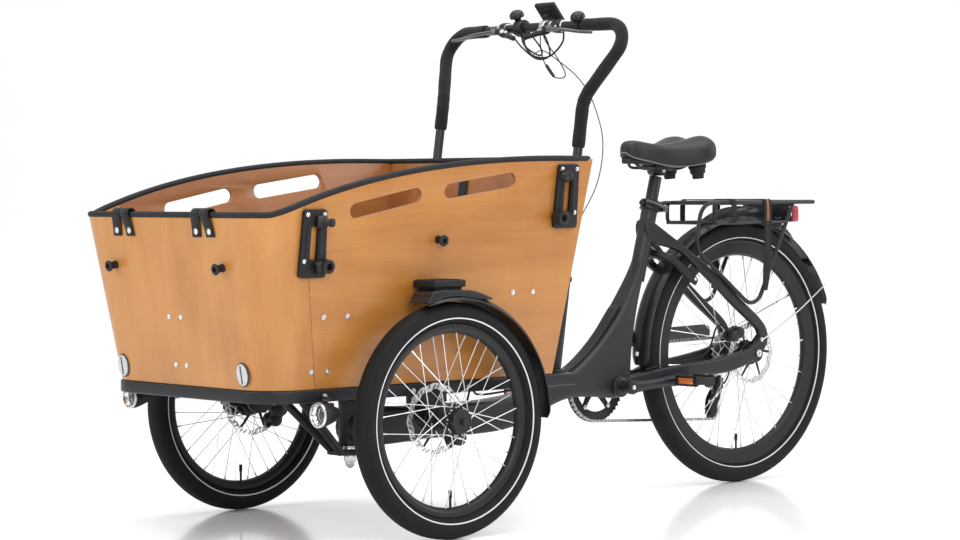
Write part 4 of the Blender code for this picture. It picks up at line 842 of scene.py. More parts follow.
def side_frame(side, depth=0.0):
    """A side panel's plane: X along the bike, Y up the panel from its foot. depth moves it inwards."""
    forward = Vector((1, 0, 0))
    up = Vector((0, side * math.sin(SIDE_TILT), math.cos(SIDE_TILT)))
    foot = at(0, side * FOOT_HALF_WIDTH, BOX_FOOT)
    return axes(forward, up, forward.cross(up), foot - outward(side) * depth)


def outward(side):
    """The direction a side panel's outer face looks in."""
    return Vector((0, side * math.cos(SIDE_TILT), -math.sin(SIDE_TILT)))


def climb(z):
    """How far up the sloping side panel height z is."""
    return (z - BOX_FOOT) / math.cos(SIDE_TILT)


def on_side(side, x, z, out=0.0):
    """A point on a side panel's outer face, at out from it."""
    return side_frame(side) @ Vector((x, climb(z), 0)) + outward(side) * out


SLOTS = (((0.224, 0.709), (0.065, 0.740)), ((-0.032, 0.749), (-0.201, 0.772)))


def slot_loop(start, end, radius):
    """The outline of a hand slot in a side panel."""
    (x0, z0), (x1, z1) = start, end
    a = math.atan2(climb(z1) - climb(z0), x1 - x0)
    first = circle((x1, climb(z1)), radius, 14, a - math.pi / 2, math.pi)
    return first + circle((x0, climb(z0)), radius, 14, a + math.pi / 2, math.pi)


def side_panel(side, word):
    """A flat side panel with its two slots, the seam to the front panel and the bench's cleat."""
    seam_top = rim_z(front_x(0.70) - SEAM_BACK) - DROP
    seam_x = front_x(seam_top) - SEAM_BACK - 2 * SEAM_HALF
    seam_foot_x = front_x(BOX_FOOT) - SEAM_BACK - 2 * SEAM_HALF
    outline = [(REAR_FOOT_X, BOX_FOOT), (seam_foot_x, BOX_FOOT), (seam_x, seam_top)]
    for i in range(1, RIM_STEPS):
        x = seam_x + (RIM_CURVE[3][0] - seam_x) * i / RIM_STEPS
        outline.append((x, rim_z(x) - DROP))
    top = RIM_CURVE[3][1] - DROP
    outline += [(RIM_CURVE[3][0], top), (rear_x(top), top)]
    loops = [[(x, climb(z)) for x, z in outline]]
    loops += [slot_loop(a, b, 0.0165) for a, b in SLOTS]
    sheet = plate(bmesh.new(), loops, PANEL, side_frame(side, PANEL / 2), 0.0015, 2)
    made = piece(f"box_{word}_veneer", sheet, SIDE_WOOD, FRONT, [f"box_{word}_panel"],
                 extra=[EDGE_WOOD, SHADED_INNER_WOOD])
    edge_faces(made, outward(side))
    # Painted shade: faces inside the box get the darker copy of the wood.
    inner_faces(made, outward(side))
    low, high = (-0.33, climb(0.507), -0.009), (-0.17, climb(0.5312), 0.009)
    # The cleat inside the box takes the darker wood, a painted shade.
    cleat = box(bmesh.new(), low, high, side_frame(side, PANEL + 0.0095), 0.003)
    piece(f"bench_{word}_cleat", cleat, SHADED_INNER_WOOD, FRONT)
    seam = [on_side(side, front_x(z) - SEAM_BACK - SEAM_HALF, z, -0.0012) for z in (BOX_FOOT, seam_top)]
    line = strap(bmesh.new(), seam, 0.0016, 0.002, (1, 0, 0))
    piece(f"box_{word}_seam", line, EDGE_WOOD, FRONT)


def flat_wood(node, material, edge_direction):
    """Dresses a flat plywood node as it is: veneer on its wide faces, cut plies on its thin ones."""
    made = frame["nodes"][node]
    made.data.materials.clear()
    for each in (material, EDGE_WOOD):
        made.data.materials.append(each)
    edge_faces(made, edge_direction)


def trim():
    """The rubber edging pushed over the top of all four panels."""
    inset = PANEL / 2
    count = len(corner_plan(BOX_FOOT))
    arc = [column(i, inset, TRIM_DROP) for i in range(count)]
    start_x = arc[0].x - AXLE_X
    side = []
    for i in range(1, RIM_STEPS):
        x = start_x + (RIM_CURVE[3][0] - start_x) * i / RIM_STEPS
        z = rim_z(x) - TRIM_DROP
        side.append(at(x, half_width(z) - inset, z))
    z = RIM_CURVE[3][1] - TRIM_DROP
    corner = at(rear_x(z) + inset, half_width(z) - inset, z)
    bend = [corner + Vector((dx, dy, 0)) for dx, dy in ((0.014, 0), (0.004, -0.004), (0, -0.014))]
    left = [p for p in side if p.x > bend[0].x + 0.004] + bend
    right = [flip(p, -1) for p in left]
    path = [*arc, *right, *reversed(left)]
    edging = tube(bmesh.new(), path, 0.0072, sides=12, closed=True)
    piece("box_rim_edging", edging, RUBBER, FRONT, ["box_edge_trim"], sharp=60)


def box_screws():
    """Screw pairs through the side panels and the front panel."""
    pairs = ((0.293, 0.487), (0.229, 0.487), (-0.233, 0.524), (-0.293, 0.524), (0.315, 0.372), (0.273, 0.372))
    spots = [(on_side(side, x, z, 0.0008), outward(side)) for side, _ in SIDES for x, z in pairs]
    screws("box_side_screws", spots, 0.0048, FRONT)
    pairs = ((0.022, 0.483), (-0.022, 0.483), (0.020, 0.379), (-0.020, 0.379))
    spots = [(at(front_x(z), y, z) + FRONT_OUT * 0.0008, FRONT_OUT) for y, z in pairs]
    screws("box_front_screws", spots, 0.0048, FRONT)


def cover_knobs():
    """Spool-shaped knobs for the rain cover, two in front and one on each side."""
    knobs = bmesh.new()
    spool = [(0.0001, 0.0165), (0.0050, 0.0165), (0.0056, 0.0225), (0.0105, 0.0225), (0.0122, 0.0212),
             (0.0124, 0.0190), (0.0110, 0.0165), (0.0082, 0.0135), (0.0080, 0.0070), (0.0088, 0.0030),
             (0.0092, 0.0), (0.0001, 0.0)]
    for side, _ in SIDES:
        lathe(knobs, spool, at(front_x(0.592), side * 0.20, 0.592), FRONT_OUT, steps=28)
        lathe(knobs, spool, on_side(side, -0.006, 0.645), outward(side), steps=28)
    piece("cover_knobs", knobs, PLASTIC, FRONT)


def oval_reflectors():
    """Upright oval reflectors at the foot of the front panel, each on a grey base with a slit."""
    oval = [(0.0235 * math.cos(a), 0.0175 * math.sin(a)) for a in angles(56)]
    rim = [(1.10 * x, 1.16 * y) for x, y in oval]
    slit = [(-0.0195, -0.0016), (0.0195, -0.0016), (0.0195, 0.0016), (-0.0195, 0.0016)]
    ovals, bases = bmesh.new(), bmesh.new()
    for side, _ in SIDES:
        here = at(front_x(0.368), side * 0.223, 0.368)
        turn = Matrix.Translation(here) @ FRONT_OUT.to_track_quat("Z", "Y").to_matrix().to_4x4()
        if abs((turn @ Vector((1, 0, 0)) - here).z) < 0.5:
            turn = turn @ Matrix.Rotation(math.pi / 2, 4, "Z")
        plate(ovals, [oval], 0.005, turn @ Matrix.Translation((0, 0, 0.0035)), 0.0018, 3)
        plate(bases, [rim], 0.003, turn @ Matrix.Translation((0, 0, 0.0012)), 0.0008, 2)
        plate(bases, [slit], 0.0016, turn @ Matrix.Translation((0, 0, 0.0064)), 0.0004, 1)
    piece("front_oval_reflectors", ovals, WHITE_REFLECTOR, FRONT)
    piece("front_reflector_bases", bases, GREY_PLASTIC, FRONT)


def tent_bracket(side, node, x, z, hand):
    """A moulded pole holder: a windowed plate with a ring socket, a tapered pin and three screws.

    hand is 1 where the ring stands to the rear of the plate's foot, -1 where it stands forward.
    """
    here = side_frame(side, -0.0055)
    base, tall = climb(z), 0.072
    corners = [(x - 0.036, base - tall), (x + 0.034, base - tall), (x + 0.030, base + tall),
               (x - 0.030, base + tall)]
    soft_line = []
    for i, corner in enumerate(corners):
        before, after = corners[i - 1], corners[(i + 1) % 4]
        p = rounded([(*before, 0), (*corner, 0), (*after, 0)], 0.008, 6)[1:-1]
        soft_line += [(q.x, q.y) for q in p]
    window = [(x - 0.010, base - 0.034), (x + 0.009, base - 0.034), (x + 0.009, base + 0.036),
              (x - 0.010, base + 0.036)]
    bm = plate(bmesh.new(), [soft_line, window], 0.010, here, 0.0022, 3)
    out = outward(side)
    for dx in (-0.018, 0.019):
        low = here @ Vector((x + dx, base - 0.040, 0.0)) + out * 0.004
        high = here @ Vector((x + dx * 0.85, base + 0.040, 0.0)) + out * 0.004
        tube(bm, [low, high], 0.0042, sides=10)
    ring_at = here @ Vector((x - hand * 0.026, base - 0.046, 0)) + out * 0.002
    ring = [(0.0075, 0.026), (0.0125, 0.0262), (0.0148, 0.0250), (0.0150, 0.0120), (0.0158, 0.0),
            (0.0001, 0.0), (0.0001, 0.014), (0.0075, 0.014)]
    lathe(bm, ring, ring_at, out, steps=36)
    block_low = here @ Vector((x - hand * 0.004, base - 0.050, 0)) + out * 0.006
    tube(bm, [block_low, ring_at + out * 0.008], 0.013, sides=20)
    pin_at = here @ Vector((x - hand * 0.006, base + 0.046, 0)) + out * 0.003
    tip = pin_at + out * 0.022 - Vector((hand * 0.030, 0, 0))
    steps = [(0.0, 0.0145), (0.30, 0.0135), (0.36, 0.0100), (0.70, 0.0078), (0.76, 0.0098), (0.92, 0.0088),
             (1.0, 0.0050)]
    tube(bm, [pin_at.lerp(tip, s) for s, _ in steps], 0.01, sides=24, radii=[r for _, r in steps])
    piece(f"{node}_body", bm, PLASTIC, FRONT, [node])
    spots = [
        (here @ Vector((x + dx, base + dy, 0)) + out * 0.0055, out)
        for dx, dy in ((-0.022, 0.062), (0.022, 0.062), (hand * 0.024, -0.036))
    ]
    screws(f"{node}_screws", spots, 0.0040, FRONT)


front_panel()
for side, word in SIDES:
    side_panel(side, word)
    tent_bracket(side, f"{word}_front_bracket", 0.338, 0.643, 1)
    tent_bracket(side, f"{word}_rear_bracket", -0.368, 0.737, -1)
# The rear panel and floor take the darker wood, a painted shade for the inside of the box.
flat_wood("box_rear_panel", SHADED_INNER_WOOD, REAR_IN)
flat_wood("box_floor", SHADED_INNER_WOOD, (0, 0, 1))
trim()
box_screws()
cover_knobs()
oval_reflectors()


# ---------------------------------------------------------------- front chassis
CHASSIS_LOW, CHASSIS_HIGH = 0.307, 0.334
CHASSIS_REAR_X = -0.442
KINGPIN_X = joint_at("steering").x - AXLE_X
POST_FOOT = Vector((-0.425, 0.250, 0.334))
POST_BEND = Vector((-0.521, 0.250, 0.960))
BAR_CORNER = Vector((-0.612, 0.338, 1.134))
BAR_MIDDLE = Vector((-0.580, 0.0, 1.136))
BAR_R = 0.011
BAR_BEND_R = 0.054
SLEEVE_FOOT = {1: 0.82, -1: 0.90}


def chassis():
    """The black under-frame with its axle plates, steering-head plates and handlebar sockets."""
    bm = bmesh.new()
    outer, inner = corner_plan(BOX_FOOT, -0.004), corner_plan(BOX_FOOT, 0.030)
    outer += [(CHASSIS_REAR_X, outer[-1][1]), (CHASSIS_REAR_X, outer[0][1])]
    inner += [(CHASSIS_REAR_X + 0.055, inner[-1][1]), (CHASSIS_REAR_X + 0.055, inner[0][1])]
    height = CHASSIS_HIGH - CHASSIS_LOW
    here = Matrix.Translation((AXLE_X, 0, (CHASSIS_HIGH + CHASSIS_LOW) / 2))
    plate(bm, [outer, inner], height, here, 0.004, 3)
    edge = FOOT_HALF_WIDTH - 0.01
    for x, half in ((0.0, 0.022), (0.175, 0.018), (-0.20, 0.015)):
        low, high = at(x - half, -edge, CHASSIS_LOW + 0.002), at(x + half, edge, CHASSIS_HIGH - 0.002)
        box(bm, low, high, soft=0.002)
    box(bm, at(KINGPIN_X - 0.045, -0.055, 0.2895), at(0.19, 0.055, CHASSIS_LOW + 0.006), soft=0.003)
    plate_eye = [(0.0105, 0.166), (0.0285, 0.166), (0.0300, 0.1645), (0.0300, 0.157), (0.0285, 0.1555),
                 (0.0105, 0.1555)]
    lathe(bm, plate_eye, at(KINGPIN_X, 0, 0), (0, 0, 1), steps=40)
    box(bm, at(KINGPIN_X + 0.018, -0.022, 0.1558), at(0.022, 0.022, 0.1657), soft=0.002)
    for side, _ in SIDES:
        start, end = at(0.008, side * 0.013, 0.160), at(0.165, side * 0.042, CHASSIS_LOW + 0.008)
        cylinder(bm, start, end, 0.0095, soft=0.002)
        axle_side(bm, side)
        post_socket(bm, side)
    piece("chassis_frame", bm, CHASSIS_PAINT, FRONT, ["front_chassis"])
    bolts = []
    for side, _ in SIDES:
        out = Vector((0, side, 0))
        bolts += [(at(x, side * (FOOT_HALF_WIDTH + 0.0042), 0.320), out) for x in (0.28, 0.12, -0.12, -0.33)]
        bolts += [(at(x, side * 0.3085, z), out) for x in (-0.040, 0.040) for z in (0.300, 0.318)]
    screws("chassis_bolts", bolts, 0.0050, FRONT)


def post_socket(bm, side):
    """The socket that holds one foot of the handlebar, with its collar and base."""
    foot = flip(POST_FOOT, side)
    run = (flip(POST_BEND, side) - foot).normalized()
    top = foot + run * ((0.560 - foot.z) / run.z)
    cylinder(bm, at(*(foot - run * 0.012)), at(*top), 0.0155, soft=0.002)
    collar = [(0.0155, 0.0), (0.0185, 0.001), (0.0185, 0.011), (0.0155, 0.012)]
    lathe(bm, collar, at(*(top - run * 0.020)), run)
    low, high = at(foot.x - 0.018, foot.y - 0.024, 0.326), at(foot.x + 0.020, foot.y + 0.024, 0.342)
    box(bm, low, high, soft=0.003)


def axle_side(bm, side):
    """One drop plate with its boss, stub axle and lamp arm."""
    y = side * 0.304
    outline = [(-0.055, 0.333), (-0.055, 0.290), (-0.030, 0.244), (-0.014, 0.232), (0.014, 0.232),
               (0.030, 0.244), (0.055, 0.290), (0.055, 0.333)]
    plate(bm, [outline], 0.008, side_plane(y), 0.0012, 2)
    cylinder(bm, at(0, side * 0.302, 0.256), at(0, side * 0.328, 0.256), 0.0150, soft=0.002)
    cylinder(bm, at(0, side * 0.310, 0.256), at(0, side * 0.4335, 0.256), 0.0060, soft=0.001)
    lamp = at(0.300, side * 0.350, 0.303)
    arm = [at(0.275, side * 0.290, 0.318), at(0.295, side * 0.318, 0.317), lamp + Vector((0, 0, 0.0125))]
    tube(bm, rounded(arm, 0.012, 5), 0.0045, sides=12)


def front_callipers():
    """The disc callipers on the axle plates, with their hoses."""
    for side, word in SIDES:
        y = side * 0.3335
        bm = bmesh.new()
        for dy in (-0.0115, 0.0115):
            for x, z in ((-0.058, 0.212), (-0.074, 0.236)):
                start, end = at(x, y + dy - 0.0078, z), at(x, y + dy + 0.0078, z)
                cylinder(bm, start, end, 0.0165, sides=32, soft=0.0035)
        tube(bm, [at(-0.040, y, 0.196), at(-0.072, y, 0.212), at(-0.092, y, 0.244)], 0.0065, sides=16)
        low, high = sorted((side * 0.306, y - side * 0.008))
        box(bm, at(-0.074, low, 0.222), at(-0.045, high, 0.246), soft=0.004, segments=3)
        start, end = at(-0.064, y - side * 0.019, 0.226), at(-0.064, y - side * 0.024, 0.226)
        cylinder(bm, start, end, 0.011, soft=0.002)
        piece(f"front_{word}_calliper", bm, CHASSIS_PAINT, FRONT)
        hose = [at(-0.088, y - side * 0.010, 0.248), at(-0.118, side * 0.318, 0.325),
                at(-0.150, side * 0.300, 0.300), at(-0.300, side * 0.240, 0.298),
                at(-0.400, side * 0.240, 0.312)]
        piece(f"front_{word}_hose", tube(bmesh.new(), smooth(hose, 8), 0.0025, sides=10), RUBBER, FRONT)


def headlight(word):
    """A round lamp: black shell with its foot, steel bezel, chrome reflector, core, band and lens."""
    node, body = f"{word}_headlight", f"{word}_headlight_body"
    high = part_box(node)[1]
    pivot = joint_at(f"{word}_headlight_tilt")
    tip = Vector((high.x, pivot.y, pivot.z - 0.018))
    shell = [(0.0001, -0.055), (0.008, -0.054), (0.014, -0.050), (0.0195, -0.034), (0.0250, -0.018),
             (0.0262, -0.010), (0.0262, -0.004), (0.0235, -0.003), (0.0235, -0.008), (0.0001, -0.030)]
    bm = lathe(bmesh.new(), shell, tip, (1, 0, 0), steps=64)
    box(bm, pivot + Vector((-0.007, -0.006, -0.014)), pivot + Vector((0.007, 0.006, 0.006)), soft=0.002)
    piece(f"{word}_lamp_shell", bm, PLASTIC, body, [node])
    bezel = [(0.0262, -0.0045), (0.0272, -0.003), (0.0265, 0.0), (0.0238, 0.0005), (0.0225, -0.003),
             (0.0238, -0.0055)]
    piece(f"{word}_lamp_bezel", lathe(bmesh.new(), bezel, tip, (1, 0, 0), steps=64), STEEL, body)
    dome = [(0.0001, -0.006), (0.0050, -0.008), (0.0078, -0.013), (0.0080, -0.021), (0.0001, -0.021)]
    piece(f"{word}_lamp_core", lathe(bmesh.new(), dome, tip, (1, 0, 0), steps=36), PLASTIC, body)
    band = [(0.0150, -0.0125), (0.0172, -0.0105), (0.0178, -0.0125), (0.0156, -0.0150)]
    piece(f"{word}_lamp_band", lathe(bmesh.new(), band, tip, (1, 0, 0), steps=48), PLASTIC, body)
    bowl = [(0.0001, -0.024), (0.010, -0.021), (0.019, -0.012), (0.0228, -0.005), (0.0232, -0.006),
            (0.019, -0.014), (0.0001, -0.027)]
    piece(f"{word}_lamp_reflector", lathe(bmesh.new(), bowl, tip, (1, 0, 0), steps=48), CHROME, body)
    glass = [(0.0001, 0.0005), (0.012, -0.0003), (0.0225, -0.0022), (0.0225, -0.0042), (0.0001, -0.0020)]
    piece(f"{word}_lamp_lens", lathe(bmesh.new(), glass, tip, (1, 0, 0), steps=48), CLEAR_LENS, body)


def mudguard_sheet(bm, centre, radius, half, start, end, steps=72, thick=0.0026, drop=0.012):
    """A domed arc: flat crown, rolled edges, rounded ends."""
    section = []
    for i in range(17):
        a = -1 + 2 * i / 16
        fall = drop * max(0.0, abs(a) - 0.25) ** 2.2 / 0.75 ** 2.2
        section.append((a * half, -fall))
    rings = []
    for i in range(steps + 1):
        share = i / steps
        angle = math.radians(start + (end - start) * share)
        near_end = min(share, 1 - share) * steps
        narrow = math.sin(math.pi / 2 * min(1.0, (near_end + 1.2) / 4.2)) ** 0.5
        out = Vector((math.cos(angle), 0, math.sin(angle)))
        ring = [centre + out * (radius + h) + Vector((0, y * narrow, 0)) for y, h in section]
        ring += [centre + out * (radius + h - thick) + Vector((0, y * narrow * 0.985, 0))
                 for y, h in reversed(section)]
        rings.append([bm.verts.new(p) for p in ring])
    ring_faces(bm, rings, False)
    return bm


def front_mudguard(side, word):
    """A front mudguard with its carrier plate and the rubber step on top."""
    centre = middle(f"front_{word}_tyre")
    node = f"{word}_mudguard"
    bm = mudguard_sheet(bmesh.new(), centre, 0.2750, 0.0345, 182, 73)
    plan = [(0.084, 0.5115), (0.076, 0.5230), (0.060, 0.5370), (-0.030, 0.5370), (-0.075, 0.5270),
            (-0.100, 0.5150), (-0.060, 0.5170), (0.0, 0.5240), (0.040, 0.5210), (0.066, 0.5130)]
    plate(bm, [smooth(plan, 5, True)], 0.066, side_plane(centre.y - side * 0.001), 0.003, 2)
    piece(f"{word}_mudguard_sheet", bm, GUARD_PLASTIC, FRONT, [node])
    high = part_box(node)[1]
    inner = half_width(0.561) + 0.0012
    outer = inner + 0.074
    y0, y1 = sorted((side * inner, side * outer))
    foot, top = at(-0.030, y0, high.z - 0.0165), at(0.058, y1, high.z - 0.0008)
    step = box(bmesh.new(), foot, top, soft=0.0035, segments=3)
    box(step, at(-0.024, y0 + 0.006, 0.5360), at(0.051, y1 - 0.006, high.z - 0.0120), soft=0.004, segments=3)
    ribs = bmesh.new()
    for i in range(5):
        x = -0.022 + 0.0160 * i
        low, top = at(x, y0 + 0.006, high.z - 0.0012), at(x + 0.008, y1 - 0.006, high.z + 0.0004)
        box(ribs, low, top, soft=0.0005, segments=1)
    piece(f"{word}_step_pad", step, RUBBER, FRONT)
    piece(f"{word}_step_ribs", ribs, RUBBER, FRONT)
    spots = [(on_side(side, x, z, 0.0008), outward(side)) for x, z in ((-0.048, 0.546), (-0.070, 0.541))]
    screws(f"{word}_mudguard_screws", spots, 0.0046, FRONT)


def steering_head():
    """Bearings, kingpin and its domed nut."""
    spot, up = Vector((joint_at("steering").x, 0, 0)), (0, 0, 1)
    for node in ("steering_bearing_upper", "steering_bearing_lower"):
        low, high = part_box(node)
        profile = [(0.0105, high.z), (0.0235, high.z), (0.0248, high.z - 0.001), (0.0248, low.z + 0.006),
                   (0.0238, low.z + 0.0052), (0.0248, low.z + 0.0044), (0.0248, low.z + 0.001),
                   (0.0235, low.z), (0.0105, low.z)]
        piece(f"{node}_races", lathe(bmesh.new(), profile, spot, up, steps=48), STEEL, FRONT, [node])
    low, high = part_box("kingpin")
    bm = bmesh.new()
    head = [(0.0001, high.z), (0.0125, high.z), (0.0145, high.z - 0.002), (0.0145, high.z - 0.0125),
            (0.0001, high.z - 0.0125)]
    lathe(bm, head, spot, up, steps=6)
    cylinder(bm, spot + Vector((0, 0, 0.135)), spot + Vector((0, 0, high.z - 0.006)), 0.0090)
    washer = [(0.0001, 0.154), (0.0205, 0.154), (0.0210, 0.1515), (0.0001, 0.1515)]
    lathe(bm, washer, spot, up, steps=40)
    nut = [(0.0001, 0.1515), (0.0155, 0.1515), (0.0155, 0.140), (0.0135, 0.1385), (0.0001, 0.1385)]
    lathe(bm, nut, spot, up, steps=6)
    dome = [(0.0001, 0.1395)]
    for i in range(8):
        a = math.pi / 2 * i / 8
        dome.append((0.0118 * math.cos(a), 0.1385 - 0.0155 * math.sin(a)))
    dome.append((0.0001, low.z + 0.0005))
    lathe(bm, dome, spot, up, steps=40)
    piece("kingpin_and_nut", bm, STEEL, FRONT, ["kingpin"])


# ---------------------------------------------------------------- handlebar
def bar_point(y):
    """The bar's centre line at y, between its two bends."""
    share = abs(y) / BAR_CORNER.y
    spot = BAR_MIDDLE.lerp(BAR_CORNER, share)
    return at(spot.x, y, spot.z)


def handlebar():
    """The bar in one piece: up from the sockets, over both bends and across."""
    foot = POST_FOOT + (POST_BEND - POST_FOOT).normalized() * 0.085
    left = [foot, POST_BEND, BAR_CORNER, BAR_MIDDLE]
    path = [*left, *(flip(p, -1) for p in reversed(left[:-1]))]
    line = rounded([at(*p) for p in path], (0.10, BAR_BEND_R, 0.5, BAR_BEND_R, 0.10), 14)
    piece("handlebar_tube", tube(bmesh.new(), line, BAR_R, sides=28), BAR_PAINT, FRONT, ["handlebar"])


def grip(side, word):
    """A foam sleeve: squared-off ends and a slight swell."""
    start = POST_FOOT.lerp(POST_BEND, SLEEVE_FOOT[side])
    end = bar_point(side * 0.172)
    corners = [at(*flip(start, side)), at(*flip(POST_BEND, side)), at(*flip(BAR_CORNER, side)), end]
    line = rounded(corners, (0.10, BAR_BEND_R), 16)
    dense = []
    for a, b in zip(line, line[1:]):
        count = max(1, round((b - a).length / 0.010))
        dense += [a.lerp(b, i / count) for i in range(count)]
    dense.append(line[-1])
    radii = [0.0152 + 0.0003 * math.sin(i * 0.9) for i in range(len(dense))]
    radii[0] = radii[-1] = 0.0128
    dense.insert(1, dense[0].lerp(dense[1], 0.2))
    dense.insert(-1, dense[-1].lerp(dense[-2], 0.2))
    radii.insert(1, 0.0148)
    radii.insert(-1, 0.0148)
    sleeve = tube(bmesh.new(), dense, 0.015, sides=28, radii=radii)
    piece(f"{word}_foam_grip", sleeve, FOAM, FRONT, [f"{word}_grip"])


def brake_lever(side, word):
    """A forged two-finger blade with its clamp, reservoir and barrel adjuster."""
    node, body = f"{word}_brake_lever", f"{word}_lever_body"
    pivot = joint_at(f"{word}_brake_lever_pull")
    run = [(0.0, 0.0, 0.0), (0.008, 0.028, -0.003), (0.013, 0.060, -0.006), (0.005, 0.110, -0.013),
           (0.004, 0.150, -0.016)]
    line = smooth([pivot + flip(p, side) for p in run], 8)
    radii = [(0.0072 - 0.0022 * i / len(line), 0.0042) for i in range(len(line))]
    radii[-1] = (0.0030, 0.0020)
    bm = tube(bmesh.new(), line, 0.005, sides=14, radii=radii, flat=Vector((0, 0, 1)))
    cylinder(bm, pivot + Vector((0, 0, -0.0082)), pivot + Vector((0, 0, 0.0082)), 0.0078, soft=0.0015)
    piece(f"{word}_lever_blade", bm, LEVER_METAL, body, [node])
    clamp = bar_point(side * 0.095)
    band = [(BAR_R, 0.010), (0.0160, 0.0098), (0.0168, 0.008), (0.0168, -0.008), (0.0160, -0.0098),
            (BAR_R, -0.010)]
    mount = lathe(bmesh.new(), band, clamp, steps=40)
    tank = [clamp + Vector((0.012, side * -0.012, -0.004)), pivot + Vector((-0.004, side * -0.020, 0.0)),
            pivot + Vector((-0.0105, side * -0.002, 0))]
    tube(mount, smooth(tank, 6), 0.008, sides=18, radii=[0.0085] * 12 + [0.006])
    piece(f"{word}_lever_clamp", mount, BAR_PAINT, FRONT)
    spots = [(clamp + Vector((0.0165, side * 0.004, -0.002)), Vector((1, 0, 0)))]
    screws(f"{word}_lever_screws", spots, 0.0030, FRONT)
    barrel = pivot + Vector((-0.002, side * -0.012, 0.001))
    inward = barrel + Vector((-0.002, side * -0.022, -0.003))
    bm = cylinder(bmesh.new(), barrel, inward, 0.0056, soft=0.001)
    cylinder(bm, inward, inward.lerp(barrel, -0.5), 0.0040, soft=0.0008)
    piece(f"{word}_lever_barrel", bm, BRUSHED, FRONT)


def display():
    """The rider's display: rounded case, dark screen, three keys, and its clamp on the bar."""
    node, body = "display", "display_body"
    pivot = joint_at("display_tilt")
    here = Matrix.Translation(pivot) @ Matrix.Rotation(math.radians(-50), 4, "Y")
    case = box(bmesh.new(), (-0.0315, -0.0335, 0.0120), (0.0295, 0.0335, 0.0232), here, 0.004, 3)
    box(case, (-0.020, -0.022, 0.0100), (0.018, 0.022, 0.0130), here, 0.002, 3)
    box(case, (-0.004, -0.009, -0.002), (0.006, 0.009, 0.014), here, 0.002)
    piece("display_case", case, PLASTIC, body, [node])
    screen = box(bmesh.new(), (-0.014, -0.029, 0.0226), (0.027, 0.029, 0.0242), here, 0.0006, 1)
    piece("display_screen", screen, GLASS_BLACK, body)
    keys = bmesh.new()
    for y in (-0.018, 0.0, 0.018):
        box(keys, (-0.0280, y - 0.006, 0.0226), (-0.0190, y + 0.006, 0.0244), here, 0.0008, 2)
    piece("display_keys", keys, GREY_PLASTIC, body)
    band = [(BAR_R, 0.009), (0.0152, 0.0088), (0.0160, 0.007), (0.0160, -0.007), (0.0152, -0.0088),
            (BAR_R, -0.009)]
    piece("display_clamp", lathe(bmesh.new(), band, bar_point(0.052), steps=40), BRUSHED, FRONT)


def bell_and_shifter():
    """The bell beside the left sleeve, a second dome above the twist shifter, adjusters and collars."""
    dome = [(0.0001, 0.0180), (0.0070, 0.0172), (0.0135, 0.0140), (0.0172, 0.0085), (0.0180, 0.0030),
            (0.0172, -0.0010), (0.0090, -0.0020), (0.0075, -0.0090), (0.0001, -0.0090)]
    band = [(BAR_R, 0.0060), (0.0150, 0.0060), (0.0158, 0.0045), (0.0158, -0.0045), (0.0150, -0.0060),
            (BAR_R, -0.0060)]
    for name, y, lift in (("bell", 0.158, 0.015), ("horn", -0.044, 0.027)):
        foot = bar_point(y)
        spot = foot + Vector((0.004, 0, lift))
        piece(f"{name}_dome", lathe(bmesh.new(), dome, spot, (0.35, 0, 1), steps=48), BAR_PAINT, FRONT)
        piece(f"{name}_clamp", lathe(bmesh.new(), band, foot, steps=36), PLASTIC, FRONT)
    barrel = [(BAR_R, 0.016), (0.0190, 0.0155), (0.0205, 0.013), (0.0205, -0.006), (0.0185, -0.012),
              (0.0150, -0.014), (BAR_R, -0.014)]
    piece("gear_shifter", lathe(bmesh.new(), barrel, bar_point(-0.034), steps=48), PLASTIC, FRONT)
    stem = bmesh.new()
    for side, _ in SIDES:
        start = bar_point(side * 0.085) + Vector((0.024, 0, -0.010))
        end = bar_point(side * 0.018) + Vector((0.036, 0, -0.026))
        cylinder(stem, start, end, 0.0062, soft=0.002)
        cylinder(stem, start, start.lerp(end, 0.30), 0.0082, soft=0.002)
    piece("cable_adjusters", stem, PLASTIC, FRONT)
    rings = bmesh.new()
    collar = [(BAR_R, 0.0035), (0.0142, 0.0035), (0.0148, 0.0020), (0.0148, -0.0020), (0.0142, -0.0035),
              (BAR_R, -0.0035)]
    for y in (0.110, 0.076, -0.088, -0.112):
        lathe(rings, collar, bar_point(y), steps=36)
    piece("bar_collars", rings, BRUSHED, FRONT)


